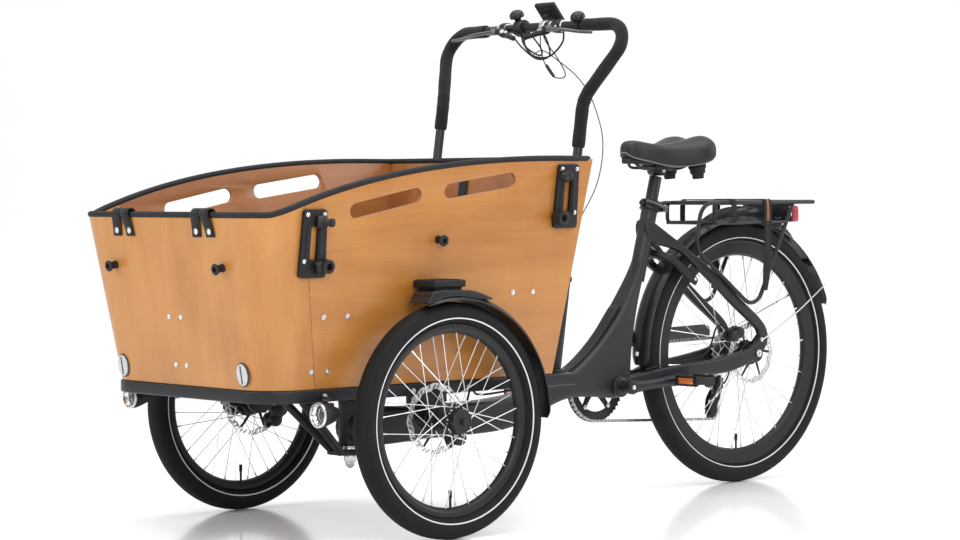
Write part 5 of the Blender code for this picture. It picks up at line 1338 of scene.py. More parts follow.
def cables():
    """Cables that loop below the bar, and the long one that arcs behind the box down to the frame."""
    def run(points, name, radius=0.0021):
        piece(name, tube(bmesh.new(), smooth([at(*p) for p in points], 10), radius, sides=10), RUBBER, FRONT)

    run([(-0.548, 0.016, 1.108), (-0.534, 0.040, 1.086), (-0.540, 0.078, 1.066), (-0.556, 0.070, 1.078),
         (-0.570, 0.030, 1.106), (-0.583, -0.010, 1.128)], "left_brake_hose")
    run([(-0.548, -0.016, 1.108), (-0.532, 0.030, 1.084), (-0.538, 0.072, 1.058), (-0.552, 0.100, 1.064),
         (-0.566, 0.080, 1.096), (-0.578, 0.050, 1.122)], "right_brake_hose")
    run([(-0.590, -0.040, 1.128), (-0.566, -0.006, 1.098), (-0.552, 0.046, 1.066), (-0.560, 0.092, 1.064),
         (-0.576, 0.120, 1.096), (-0.586, 0.112, 1.128)], "shifter_cable", 0.0023)
    run([(-0.588, 0.030, 1.128), (-0.570, 0.050, 1.090), (-0.562, 0.072, 1.050), (-0.562, 0.100, 1.018),
         (-0.566, 0.132, 1.012), (-0.570, 0.134, 1.026), (-0.572, 0.104, 1.062), (-0.578, 0.060, 1.100),
         (-0.584, 0.040, 1.128)], "display_wire", 0.0014)
    joint = cylinder(bmesh.new(), at(-0.5625, 0.078, 1.044), at(-0.5625, 0.104, 1.016), 0.0036, soft=0.001)
    piece("wire_connector", joint, PLASTIC, FRONT)
    run([(-0.552, 0.046, 1.070), (-0.602, 0.024, 1.081), (-0.663, 0.012, 1.058), (-0.718, 0.010, 1.027),
         (-0.757, 0.010, 0.991), (-0.785, 0.010, 0.946), (-0.810, 0.008, 0.880), (-0.811, 0.004, 0.815),
         (-0.790, 0.002, 0.750), (-0.744, 0.000, 0.682), (-0.680, 0.000, 0.590), (-0.590, 0.000, 0.470),
         (-0.500, 0.000, 0.380), (-0.440, 0.000, 0.326)], "long_cable", 0.0013)


def front_straps():
    """Two pairs of webbing loops riveted over the box's front edge, meeting at the top."""
    rivets = []
    profile = ((0.656, 0.0018, 0.0), (0.672, 0.0024, 0.002), (0.692, 0.0050, 0.006), (0.703, 0.0070, 0.009),
               (0.7125, 0.0026, 0.010), (0.7160, -0.0050, 0.010), (0.7125, -0.0130, 0.010),
               (0.700, -0.0175, 0.009), (0.680, -0.0118, 0.006), (0.662, -0.0118, 0.003))
    for n, y in enumerate((0.174, 0.124, -0.124, -0.174)):
        inward = math.copysign(1, 0.149 - abs(y)) * math.copysign(1, y)
        line = [at(front_x(z) + out, y + inward * slide, z) for z, out, slide in profile]
        piece(f"rim_strap_{n}", strap(bmesh.new(), smooth(line, 5), 0.031, 0.0022, (0, 1, 0)), STRAP, FRONT)
        rivets.append((at(front_x(0.668) + 0.0036, y + inward * 0.0015, 0.668), FRONT_OUT))
    screws("rim_strap_rivets", rivets, 0.0056, FRONT)


def bench():
    """The folding seat board with a cushion on it, its hinges, and two lap belts on the rear wall."""
    body = "bench_body"
    # The seat board takes the darker wood, a painted shade for the inside of the box.
    flat_wood("bench_seat", SHADED_INNER_WOOD, (0, 0, 1))
    low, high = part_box("bench_seat")
    near = Vector((low.x + 0.060, low.y + 0.012, high.z + 0.0006))
    far = Vector((high.x - 0.004, high.y - 0.012, high.z + 0.018))
    piece("bench_cushion", cushion(near, far), CUSHION, body)
    hinges = bmesh.new()
    pin = joint_at("bench_seat_fold")
    for y in (-0.19, 0.19):
        for k in range(5):
            start = pin + Vector((0, y - 0.036 + 0.0148 * k, 0))
            cylinder(hinges, start, start + Vector((0, 0.0132, 0)), 0.0058, soft=0.0008)
    piece("bench_hinge_knuckles", hinges, STEEL, body)
    anchors = []
    for n, y in enumerate((-0.065, 0.235)):
        line = [at(rear_x(z) + 0.0140, y, z) for z in (0.812, 0.780, 0.740, 0.702)]
        piece(f"lap_belt_{n}", strap(bmesh.new(), smooth(line, 4), 0.030, 0.0018, (0, 1, 0)), BELT, FRONT)
        anchors.append((at(rear_x(0.804) + 0.0150, y, 0.804), REAR_IN))
        here = Matrix.Translation(at(rear_x(0.695) + 0.0132, y, 0.695)) @ Matrix.Rotation(-END_TILT, 4, "Y")
        buckle = box(bmesh.new(), (0, -0.020, -0.021), (0.0085, 0.020, 0.021), here, 0.0035, 3)
        piece(f"lap_belt_buckle_{n}", buckle, PLASTIC, FRONT)
    screws("lap_belt_anchors", anchors, 0.0060, FRONT)


def cushion(low, high):
    """A crowned pad whose top swells and whose sides pull in, with two sewn channels."""
    bm = bmesh.new()
    across, along = 44, 20
    size = high - low
    grid = {}
    for top in (0, 1):
        for i in range(across + 1):
            for j in range(along + 1):
                u, v = i / across, j / along
                du, dv = min(u, 1 - u) * size.y, min(v, 1 - v) * size.x
                edge = min(1.0, min(du, dv) / 0.026)
                swell = math.sin(math.pi / 2 * edge) ** 0.6
                pull = 0.004 * (1 - math.sin(math.pi * u)) * (1 if v in (0, 1) else 0)
                groove = max(math.exp(-((u - c) * size.y / 0.007) ** 2) for c in (1 / 3, 2 / 3))
                x = low.x + v * size.x + (pull if v == 0 else -pull)
                y = low.y + u * size.y
                middle_z = low.z + size.z * 0.42
                if top:
                    z = middle_z + (high.z - middle_z) * swell * (1 - 0.5 * groove)
                    z += 0.0012 * math.sin(9 * u + 3 * v) * edge
                else:
                    z = middle_z - (middle_z - low.z) * min(1.0, swell * 1.4)
                border = i in (0, across) or j in (0, along)
                key = (0 if border else top, i, j)
                if key not in grid:
                    grid[key] = bm.verts.new((x, y, middle_z if border else z))
    for top in (0, 1):
        for i in range(across):
            for j in range(along):
                keys = [(i, j), (i + 1, j), (i + 1, j + 1), (i, j + 1)]
                corners = [grid.get((top, a, b)) or grid[(0, a, b)] for a, b in keys]
                bm.faces.new(corners if top else list(reversed(corners)))
    return bm


CUSHION = webbing("bench_cloth", (0.050, 0.052, 0.058))
chassis()
front_callipers()
steering_head()
handlebar()
display()
bell_and_shifter()
cables()
front_straps()
bench()
for side, word in SIDES:
    headlight(word)
    front_mudguard(side, word)
    grip(side, word)
    brake_lever(side, word)


# ---------------------------------------------------------------- rear frame
REAR = "rear_frame"
AXLE = middle("rear_tyre")
AXLE_AT = (AXLE.x - AXLE_X, AXLE.z)
SEAT_TOP = Vector((-0.984, 0.0, 0.722))
SEAT_RUN = Vector((-0.27, 0.0, 1.0)).normalized()
BRACKET = (-0.839, 0.268)
FRAME_HALF_WIDTH, STAY_THICK, DROPOUT_Y = 0.034, 0.018, 0.0675
FRAME_OUTLINE = (
    (-0.030, 0.178), (-0.250, 0.178), (-0.470, 0.184), (-0.577, 0.217), (-0.674, 0.246), (-0.760, 0.246),
    (-0.845, 0.240), (-0.880, 0.268), (-0.886, 0.330), (-0.893, 0.385), (-0.908, 0.455), (-0.935, 0.530),
    (-0.962, 0.600), (-0.985, 0.668), (-0.957, 0.672), (-0.928, 0.570), (-0.880, 0.487), (-0.826, 0.418),
    (-0.755, 0.352), (-0.673, 0.302), (-0.550, 0.269), (-0.410, 0.255), (-0.200, 0.254), (-0.030, 0.256),
)
STAY_OUTLINE = (
    (-0.960, 0.674), (-1.058, 0.601), (-1.130, 0.548), (-1.229, 0.470), (-1.292, 0.424), (-1.320, 0.393),
    (-1.324, 0.362), (-1.306, 0.334), (-1.259, 0.309), (-1.205, 0.293), (-1.150, 0.286), (-1.050, 0.286),
    (-0.950, 0.272), (-0.860, 0.258), (-0.860, 0.286), (-0.955, 0.303), (-1.031, 0.315), (-1.120, 0.322),
    (-1.200, 0.333), (-1.262, 0.346), (-1.292, 0.366), (-1.290, 0.390), (-1.262, 0.413), (-1.192, 0.463),
    (-1.137, 0.508), (-1.080, 0.558), (-1.030, 0.598), (-0.955, 0.624),
)
STAY_CUTS = 24


def stay_offset(x, z):
    """How far a stay stands from the centre plane: flush at the seat tube, spread at the dropout."""
    near, length = (0.022, 0.202) if z > 0.38 else (0.0265, 0.092)
    share = min(1.0, max(0.0, (-0.948 - x) / length))
    spread = near + (DROPOUT_Y - near) * share
    if z < 0.38:
        return spread
    flush = min(1.0, max(0.0, (-0.955 - x) / 0.085))
    return 0.0125 + (spread - 0.0125) * flush


def stay(bm, side):
    """One side of the rear triangle: a bent member from the seat tube to the dropout and back."""
    made = plate(bmesh.new(), [smooth(STAY_OUTLINE, 5, True)], STAY_THICK, side_plane(0), 0.0055, 4)
    for i in range(STAY_CUTS + 1):
        x = AXLE_X - 0.860 - 0.300 * i / STAY_CUTS
        every = made.verts[:] + made.edges[:] + made.faces[:]
        bmesh.ops.bisect_plane(made, geom=every, dist=1e-5, plane_co=(x, 0, 0), plane_no=(1, 0, 0))
    for vertex in made.verts:
        vertex.co.y += side * stay_offset(vertex.co.x - AXLE_X, vertex.co.z)
    mesh = bpy.data.meshes.new("stay")
    made.to_mesh(mesh)
    made.free()
    bm.from_mesh(mesh)
    bpy.data.meshes.remove(mesh)


def main_frame():
    """The hollow-formed main member with its head, seat and bracket tubes and both rear triangles."""
    bm = plate(bmesh.new(), [smooth(FRAME_OUTLINE, 6, True)], 2 * FRAME_HALF_WIDTH, side_plane(0), 0.0135, 6)
    for z in (0.42, 0.45, 0.48, 0.51, 0.54, 0.57, 0.60, 0.63, 0.65):
        every = bm.verts[:] + bm.edges[:] + bm.faces[:]
        bmesh.ops.bisect_plane(bm, geom=every, dist=1e-5, plane_co=(0, 0, z), plane_no=(0, 0, 1))
    for vertex in bm.verts:
        slim = min(1.0, max(0.0, (vertex.co.z - 0.42) / 0.22))
        vertex.co.y *= 1 - 0.50 * slim * slim * (3 - 2 * slim)
    spot = Vector((joint_at("steering").x, 0, 0))
    head = [(0.0100, 0.2795), (0.0240, 0.2795), (0.0262, 0.2780), (0.0270, 0.2740), (0.0262, 0.2680),
            (0.0262, 0.1890), (0.0270, 0.1830), (0.0262, 0.1785), (0.0240, 0.1765), (0.0100, 0.1765)]
    lathe(bm, head, spot, (0, 0, 1), steps=56)
    seat = [(0.0145, 0.0), (0.0188, 0.0), (0.0200, -0.0012), (0.0200, -0.2050), (0.0145, -0.2050)]
    lathe(bm, seat, at(*SEAT_TOP), SEAT_RUN, steps=48)
    shell = [(0.0190, 0.0440), (0.0245, 0.0440), (0.0257, 0.0428), (0.0257, -0.0348), (0.0245, -0.0360),
             (0.0190, -0.0360)]
    lathe(bm, shell, at(BRACKET[0], 0, BRACKET[1]), steps=56)
    dropout = [(0.0060, 0.0086), (0.0205, 0.0086), (0.0222, 0.0070), (0.0222, -0.0070), (0.0205, -0.0086),
               (0.0060, -0.0086)]
    for side, _ in SIDES:
        stay(bm, side)
        lathe(bm, dropout, AXLE + Vector((0, side * DROPOUT_Y, 0)), steps=48)
    piece("frame_shell", bm, FRAME_PAINT, REAR, ["main_frame"], sharp=36)


def cover_loop():
    """The battery cover's outline, which follows the frame's web."""
    upper = [(-0.852, 0.462), (-0.800, 0.402), (-0.740, 0.347), (-0.672, 0.308)]
    lower = [(-0.684, 0.294), (-0.752, 0.333), (-0.812, 0.390), (-0.858, 0.447)]
    return smooth([*upper, (-0.610, 0.290), (-0.618, 0.277), *lower], 5, True)


def frame_fittings():
    """The battery cover, the bracket cups, the rear axle with its nuts and the frame's bolts."""
    cover = plate(bmesh.new(), [cover_loop()], 0.0325, side_plane(0), 0.003, 3)
    piece("battery_cover_shell", cover, PLASTIC, REAR, ["battery_cover"])
    cups = bmesh.new()
    for side, _ in SIDES:
        end = 0.0440 if side > 0 else 0.0360
        cup = [(0.0095, end + 0.0030), (0.0200, end + 0.0030), (0.0222, end + 0.0020),
               (0.0222, end + 0.0004), (0.0095, end + 0.0004)]
        lathe(cups, [(r, side * h) for r, h in cup], at(BRACKET[0], 0, BRACKET[1]), steps=12)
    piece("bracket_cups", cups, BAR_PAINT, REAR, ["bottom_bracket"])
    low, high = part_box("rear_axle")
    axle = cylinder(bmesh.new(), (AXLE.x, low.y, AXLE.z), (AXLE.x, high.y, AXLE.z), 0.0052, soft=0.001)
    nut = [(0.0050, 0.0), (0.0095, 0.0), (0.0100, 0.0008), (0.0100, 0.0070), (0.0085, 0.0082),
           (0.0050, 0.0084)]
    face = DROPOUT_Y + 0.0092
    for side, _ in SIDES:
        lathe(axle, nut, AXLE + Vector((0, side * face, 0)), (0, side, 0), steps=6)
    piece("rear_axle_nuts", axle, STEEL, REAR, ["rear_axle"])
    bolts = [(at(-1.300, side * face, 0.366), Vector((0, side, 0))) for side, _ in SIDES]
    bolts += [(at(-0.900, side * 0.0335, 0.345), Vector((0, side, 0))) for side, _ in SIDES]
    screws("frame_bolts", bolts, 0.0045, REAR)


def seat_matrix(drop):
    """The seat tube's own axes, drop below its top: Z runs up the tube."""
    left = Vector((0, 1, 0))
    return axes(left.cross(SEAT_RUN), left, SEAT_RUN, at(*(SEAT_TOP - SEAT_RUN * drop)))


def seat_fixing():
    """The seatpost, the collar and its quick-release lever."""
    top = at(*SEAT_TOP)
    post = cylinder(bmesh.new(), top - SEAT_RUN * 0.109, top + SEAT_RUN * 0.060, 0.0156, sides=40, soft=0.001)
    piece("seatpost_tube", post, BAR_PAINT, "seatpost_body", ["seatpost"])
    ring = [(0.0203, 0.0125), (0.0240, 0.0125), (0.0258, 0.0110), (0.0262, 0.0080), (0.0250, 0.0055),
            (0.0250, -0.0070), (0.0262, -0.0090), (0.0258, -0.0115), (0.0240, -0.0130), (0.0203, -0.0130)]
    here = seat_matrix(0.014)
    bm = lathe(bmesh.new(), ring, here.translation, SEAT_RUN, steps=56)
    box(bm, (-0.0362, -0.0120, -0.0082), (-0.0235, -0.0015, 0.0082), here, 0.0022, 3)
    box(bm, (-0.0362, 0.0015, -0.0082), (-0.0235, 0.0120, 0.0082), here, 0.0022, 3)
    cylinder(bm, here @ Vector((0.0235, 0, 0)), here @ Vector((0.0345, 0, 0)), 0.0062, soft=0.0015)
    piece("seat_collar", bm, BAR_PAINT, REAR, ["seat_clamp"])
    spots = [(here @ Vector((-0.0300, -0.0125, 0)), Vector((0, -1, 0)))]
    screws("seat_collar_bolt", spots, 0.0042, REAR)
    pivot = Vector((-0.0315, 0.0205, 0.0))
    run = [pivot, (-0.022, 0.0320, 0), (-0.004, 0.0378, 0.0), (0.020, 0.0355, 0.001), (0.044, 0.031, 0.002)]
    line = smooth([here @ Vector(p) for p in run], 6)
    radii = [(0.0062 - 0.0012 * math.sin(math.pi * i / len(line)), 0.0036) for i in range(len(line))]
    radii[-1] = (0.0035, 0.0018)
    arm = tube(bmesh.new(), line, 0.005, sides=14, radii=radii, flat=SEAT_RUN)
    cylinder(arm, here @ (pivot + Vector((0, 0, -0.0078))), here @ (pivot + Vector((0, 0, 0.0078))), 0.0075,
             soft=0.0015)
    piece("seat_lever", arm, LEVER_METAL, "clamp_lever_body", ["seat_clamp_lever"])


# ---------------------------------------------------------------- saddle
SADDLE_STATIONS = (
    # along, half width, top, bottom
    (-0.8880, 0.0030, 0.8470, 0.8430), (-0.8920, 0.0150, 0.8600, 0.8330), (-0.9020, 0.0235, 0.8680, 0.8250),
    (-0.9220, 0.0285, 0.8700, 0.8190), (-0.9500, 0.0325, 0.8670, 0.8140), (-0.9800, 0.0400, 0.8640, 0.8070),
    (-1.0100, 0.0540, 0.8640, 0.8020), (-1.0400, 0.0730, 0.8670, 0.8010), (-1.0700, 0.0910, 0.8730, 0.8050),
    (-1.0960, 0.0985, 0.8790, 0.8110), (-1.1160, 0.0955, 0.8800, 0.8190), (-1.1290, 0.0800, 0.8750, 0.8280),
    (-1.1360, 0.0540, 0.8640, 0.8400), (-1.1380, 0.0230, 0.8540, 0.8480),
)
SADDLE_DENSE = 6


def saddle_shell(around=64):
    """The upholstered top as rings across the saddle, from nose to tail."""
    bm, rings = bmesh.new(), []
    for x, half, top, low in smooth([Vector(s) for s in SADDLE_STATIONS], SADDLE_DENSE):
        rear = min(1.0, max(0.0, (-1.02 - x) / 0.07))
        channel = 0.0105 * math.exp(-((x + 1.09) / 0.060) ** 2) + 0.003 * math.exp(-((x + 1.0) / 0.05) ** 2)
        ring = []
        for j in range(around):
            a = 2 * math.pi * (j + 0.5) / around
            y = math.copysign(abs(math.sin(a)) ** 0.74, math.sin(a)) * half
            up, share = math.cos(a), abs(y) / half
            if up > 0:
                z = low + (top - low) * (0.30 + 0.70 * up ** 0.60)
                z += 0.0042 * rear * math.exp(-((share - 0.55) / 0.27) ** 2)
                z -= channel * math.exp(-(y / 0.020) ** 2)
            else:
                z = low + (top - low) * 0.30 * (1 - abs(up) ** 0.5)
            ring.append(bm.verts.new(at(x, y, z)))
        rings.append(ring)
    ring_faces(bm, rings, False)
    return bm


def saddle():
    """Vinyl top with its piping, over a black base."""
    made = piece("saddle_cover", saddle_shell(), VINYL, "saddle_body", ["saddle"], sharp=70)
    soft = made.modifiers.new("smooth", "SUBSURF")
    soft.levels = soft.render_levels = 1
    line = smooth([Vector(s) for s in SADDLE_STATIONS], SADDLE_DENSE)[3:-6]
    left = [at(x, half * 0.90, low + (top - low) * 0.075) for x, half, top, low in line]
    right = [flip(p, -1) for p in reversed(left)]
    cord = tube(bmesh.new(), left + right, 0.0015, sides=8, closed=True)
    piece("saddle_piping", cord, PIPING, "saddle_body")
    outline = [(x, half * 0.66) for x, half, _, _ in line[4:-12]]
    outline += [(x, -y) for x, y in reversed(outline)]
    base = plate(bmesh.new(), [outline], 0.016, Matrix.Translation((AXLE_X, 0, 0.8200)), 0.004, 3)
    piece("saddle_base", base, PLASTIC, "saddle_body")


def saddle_rails():
    """Both rails, the clamp on the seatpost, and the two elastomers below the tail."""
    hinge = joint_at("saddle_tilt")
    bm, hz = bmesh.new(), hinge.z
    for side, _ in SIDES:
        path = [(-0.912, side * 0.010, 0.8195), (-0.930, side * 0.017, 0.804),
                (-0.965, side * 0.021, hz + 0.006), (-1.055, side * 0.021, hz + 0.004),
                (-1.100, side * 0.032, hz + 0.020), (-1.118, side * 0.040, 0.8170)]
        tube(bm, smooth([at(*p) for p in path], 8), 0.0036, sides=14)
    half = Vector((0, 0.0235, 0))
    cylinder(bm, hinge - half, hinge + half, 0.0133, sides=32, soft=0.003)
    low, high = (hinge.x - 0.027, -0.0275, hz + 0.0005), (hinge.x + 0.027, 0.0275, hz + 0.0135)
    box(bm, low, high, soft=0.003, segments=3)
    box(bm, at(-0.925, -0.015, 0.8125), at(-0.902, 0.015, 0.8225), soft=0.003)
    piece("saddle_rail_set", bm, BAR_PAINT, "saddle_body", ["saddle_rails"])
    bolts = [(hinge + Vector((0, s * 0.0240, 0)), Vector((0, s, 0))) for s in (1, -1)]
    screws("saddle_clamp_bolts", bolts, 0.0042, "saddle_body")
    rubber = bmesh.new()
    bellows = [(0.0001, 0.0220), (0.0240, 0.0220), (0.0250, 0.0140), (0.0215, 0.0090), (0.0230, 0.0030),
               (0.0190, -0.0030), (0.0195, -0.0100), (0.0150, -0.0150), (0.0140, -0.0250), (0.0001, -0.0255)]
    for side, _ in SIDES:
        lathe(rubber, bellows, at(-1.096, side * 0.050, 0.8000), (0.12, 0, 1), steps=32)
    piece("saddle_elastomers", rubber, RUBBER, "saddle_body")


# ---------------------------------------------------------------- drive train
CHAIN_Y, CHAINRING_R, COG_R, PULLEY_R = -0.048, 0.0895, 0.0366, 0.0225
PULLEYS = {"guide": (-1.266, 0.250), "tension": (-1.243, 0.182)}
PITCH = 0.0127
CRANK_LENGTH, CRANK_RISE, PEDAL_Y = 0.165, math.radians(4), 0.132


def belt(circles, step=math.radians(6)):
    """A closed line round circles of (centre, radius, side), side -1 where it bends the other way."""
    tangents = []
    for (c1, r1, s1), (c2, r2, s2) in zip(circles, circles[1:] + circles[:1]):
        run = Vector(c2) - Vector(c1)
        heading = math.atan2(run.y, run.x) + math.asin((s1 * r1 - s2 * r2) / run.length)
        tangents.append(heading)
    out = []
    for i, (centre, radius, side) in enumerate(circles):
        start = tangents[i - 1] - side * math.pi / 2
        turn = (side * (tangents[i] - tangents[i - 1])) % (2 * math.pi) * side
        parts = max(2, round(abs(turn) / step))
        out += [
            Vector((centre[0] + radius * math.cos(start + turn * k / parts),
                    centre[1] + radius * math.sin(start + turn * k / parts)))
            for k in range(parts + 1)
        ]
    return out


def even(points, pitch):
    """Points an equal, near-pitch distance apart round a closed line."""
    ring = [*points, points[0]]
    lengths = [(b - a).length for a, b in zip(ring, ring[1:])]
    count = 2 * round(sum(lengths) / pitch / 2)
    gap, out, i, gone = sum(lengths) / count, [], 0, 0.0
    for k in range(count):
        want = k * gap
        while gone + lengths[i] < want:
            gone += lengths[i]
            i += 1
        out.append(ring[i].lerp(ring[i + 1], (want - gone) / lengths[i]))
    return out


def chain():
    """Roller chain: alternate inner and outer link plates on their rollers and pins."""
    circles = [(AXLE_AT, COG_R, 1), (PULLEYS["guide"], PULLEY_R, -1), (PULLEYS["tension"], PULLEY_R, 1),
               (BRACKET, CHAINRING_R, 1)]
    pins = even(belt(circles), PITCH)
    plates, rollers = bmesh.new(), bmesh.new()
    for i, (a, b) in enumerate(zip(pins, pins[1:] + pins[:1])):
        shift = 0.0026 if i % 2 else 0.0016
        run = (b - a).normalized()
        side = Vector((-run.y, run.x))
        waist = (a + b) / 2
        loop = [a - run * 0.0040, a - run * 0.0028 + side * 0.0030, a + run * 0.0008 + side * 0.0038,
                waist + side * 0.0024, b - run * 0.0008 + side * 0.0038, b + run * 0.0028 + side * 0.0030,
                b + run * 0.0040, b + run * 0.0028 - side * 0.0030, b - run * 0.0008 - side * 0.0038,
                waist - side * 0.0024, a + run * 0.0008 - side * 0.0038, a - run * 0.0028 - side * 0.0030]
        for s in (1, -1):
            rings = [[plates.verts.new(at(p.x, CHAIN_Y + s * (shift + t), p.y)) for p in loop]
                     for t in (0.0, 0.0009)]
            ring_faces(plates, rings, False)
        cylinder(rollers, at(a.x, CHAIN_Y - 0.0014, a.y), at(a.x, CHAIN_Y + 0.0014, a.y), 0.0036, sides=10)
        cylinder(rollers, at(a.x, CHAIN_Y - 0.0039, a.y), at(a.x, CHAIN_Y + 0.0039, a.y), 0.0016, sides=8)
    piece("chain_links", plates, CHAIN_STEEL, REAR, ["chain"])
    piece("chain_rollers", rollers, STEEL, REAR)


def teeth(count, pitch_radius, tall=0.0034):
    """The outline of a sprocket with rounded valleys between narrow teeth."""
    steps = count * 6
    out = []
    for i in range(steps):
        share = (i % 6) / 6
        lift = math.sin(math.pi * share) ** 1.5
        r = pitch_radius - 0.0040 + (tall + 0.0036) * lift
        a = 2 * math.pi * i / steps
        out.append((r * math.cos(a), r * math.sin(a)))
    return out


def cassette():
    """Seven toothed cogs, the four largest pierced with holes, on their core."""
    cogs = bmesh.new()
    for i, count in enumerate((14, 16, 18, 20, 22, 24, 26)):
        pitch_r = PITCH / 2 / math.sin(math.pi / count)
        turn = Matrix.Rotation(math.pi / 2, 4, "X")
        here = Matrix.Translation((AXLE.x, -0.0565 + 0.0042 * i, AXLE.z)) @ turn
        mid, hole_r = (pitch_r + 0.018) / 2, (pitch_r - 0.018) / 3.2
        holes = [circle((mid * math.cos(a), mid * math.sin(a)), hole_r, 10)
                 for a in angles(6) if count >= 20]
        plate(cogs, [teeth(count, pitch_r), *holes], 0.0018, here, 0.0003, 1)
    piece("cassette_cogs", cogs, CHAIN_STEEL, "sprocket_cluster", ["cassette"])
    core = [(0.0065, -0.0285), (0.0180, -0.0285), (0.0180, -0.0580), (0.0150, -0.0600), (0.0135, -0.0590),
            (0.0065, -0.0575)]
    piece("cassette_core", lathe(bmesh.new(), core, AXLE, steps=36), STEEL, "sprocket_cluster")


def pulleys():
    """The two toothed jockey wheels, each with five round windows and a hub."""
    ring = teeth(11, PULLEY_R - 0.0002, 0.0022)
    windows = [circle((0.0125 * math.cos(a), 0.0125 * math.sin(a)), 0.0030, 12) for a in angles(5)]
    hub = [(0.0032, 0.0034), (0.0070, 0.0034), (0.0080, 0.0015), (0.0080, -0.0015), (0.0070, -0.0034),
           (0.0032, -0.0034)]
    for word, (x, z) in PULLEYS.items():
        here = side_plane(CHAIN_Y) @ Matrix.Translation((x, z, 0))
        wheel = plate(bmesh.new(), [ring, circle((0, 0), 0.0032, 16), *windows], 0.0030, here, 0.0005, 1)
        lathe(wheel, hub, at(x, CHAIN_Y, z), steps=28)
        piece(f"{word}_pulley_wheel", wheel, PLASTIC, f"{word}_pulley_body", [f"{word}_pulley"])


def derailleur():
    """The cage plates round both pulleys, the body that hangs below the dropout, and its cable."""
    (gx, gz), (tx, tz) = PULLEYS["guide"], PULLEYS["tension"]
    cage = [(gx - 0.013, gz + 0.004), (gx - 0.006, gz + 0.015), (gx + 0.008, gz + 0.012),
            (gx + 0.011, gz - 0.004), (tx + 0.011, tz + 0.030), (tx + 0.013, tz - 0.002),
            (tx + 0.005, tz - 0.014), (tx - 0.008, tz - 0.012), (tx - 0.011, tz + 0.006),
            (gx - 0.004, gz - 0.030)]
    bm = bmesh.new()
    slot = [(gx + 0.001, gz - 0.020), (tx + 0.004, tz + 0.020), (tx - 0.003, tz + 0.020),
            (gx - 0.004, gz - 0.018)]
    for y in (-0.0560, -0.0400):
        plate(bm, [smooth(cage, 4, True), slot], 0.0020, side_plane(y), 0.0005, 1)
    for x, z in PULLEYS.values():
        cylinder(bm, at(x, -0.0575, z), at(x, -0.0385, z), 0.0026, sides=14)
    piece("derailleur_cage", bm, PLASTIC, REAR, ["derailleur"])
    body = bmesh.new()
    cylinder(body, at(gx, -0.0570, gz), at(gx, -0.0865, gz), 0.0132, sides=32, soft=0.004)
    hanger = Vector((AXLE_AT[0] - 0.004, -0.0735, AXLE_AT[1] - 0.030))
    link = [at(gx, -0.080, gz), at((gx + hanger.x) / 2 - 0.012, -0.088, (gz + hanger.z) / 2), at(*hanger)]
    tube(body, smooth(link, 8), 0.009, sides=18, flat=Vector((0, 1, 0)), radii=[(0.0125, 0.0065)] * 17)
    start, end = at(hanger.x, -0.0830, hanger.z), at(hanger.x, -0.0660, hanger.z)
    cylinder(body, start, end, 0.0105, sides=32, soft=0.002)
    start, end = at(hanger.x + 0.002, -0.0700, hanger.z - 0.002), at(AXLE_AT[0], -0.0660, AXLE_AT[1])
    cylinder(body, start, end, 0.008, soft=0.001)
    piece("derailleur_body", body, PLASTIC, REAR)
    spots = [(at(gx, -0.0866, gz), Vector((0, -1, 0))), (at(hanger.x, -0.0832, hanger.z), Vector((0, -1, 0)))]
    screws("derailleur_bolts", spots, 0.0040, REAR)
    wire = [at(gx - 0.010, -0.084, gz + 0.010), at(-1.335, -0.090, 0.245), at(-1.360, -0.088, 0.310),
            at(-1.320, -0.082, 0.352), at(-1.270, -0.078, 0.346)]
    piece("derailleur_cable", tube(bmesh.new(), smooth(wire, 8), 0.0023, sides=10), RUBBER, REAR)


def crank_end(side):
    """Where a crank arm ends, from the front axle's ground point: side 1 is the left arm."""
    return Vector((BRACKET[0] - math.cos(CRANK_RISE) * CRANK_LENGTH * side, 0,
                   BRACKET[1] + math.sin(CRANK_RISE) * CRANK_LENGTH * side))


def crank_arm(bm, side, y0, y1):
    """A forged arm: round eyes at both ends and a tapered, waisted blade between."""
    middle_y = side * (y0 + y1) / 2
    thick = (y1 - y0) / 2
    start = at(BRACKET[0], middle_y, BRACKET[1])
    tip = crank_end(side)
    end = at(tip.x, middle_y, tip.z)
    line = [start.lerp(end, i / 12) for i in range(13)]
    wide = [0.0160 - 0.0034 * math.sin(math.pi * i / 12) for i in range(13)]
    radii = [(w, thick * (1.0 - 0.12 * math.sin(math.pi * i / 12))) for i, w in enumerate(wide)]
    tube(bm, line, 0.01, sides=20, radii=radii, flat=Vector((0, 1, 0)))
    for spot, radius in ((start, 0.0170), (end, 0.0130)):
        half = Vector((0, thick, 0))
        cylinder(bm, spot - half, spot + half, radius, sides=36, soft=0.0025)
    axle_end = end + Vector((0, side * (PEDAL_Y + 0.036 - abs(middle_y)), 0))
    cylinder(bm, end, axle_end, 0.0042, sides=16, soft=0.0008)


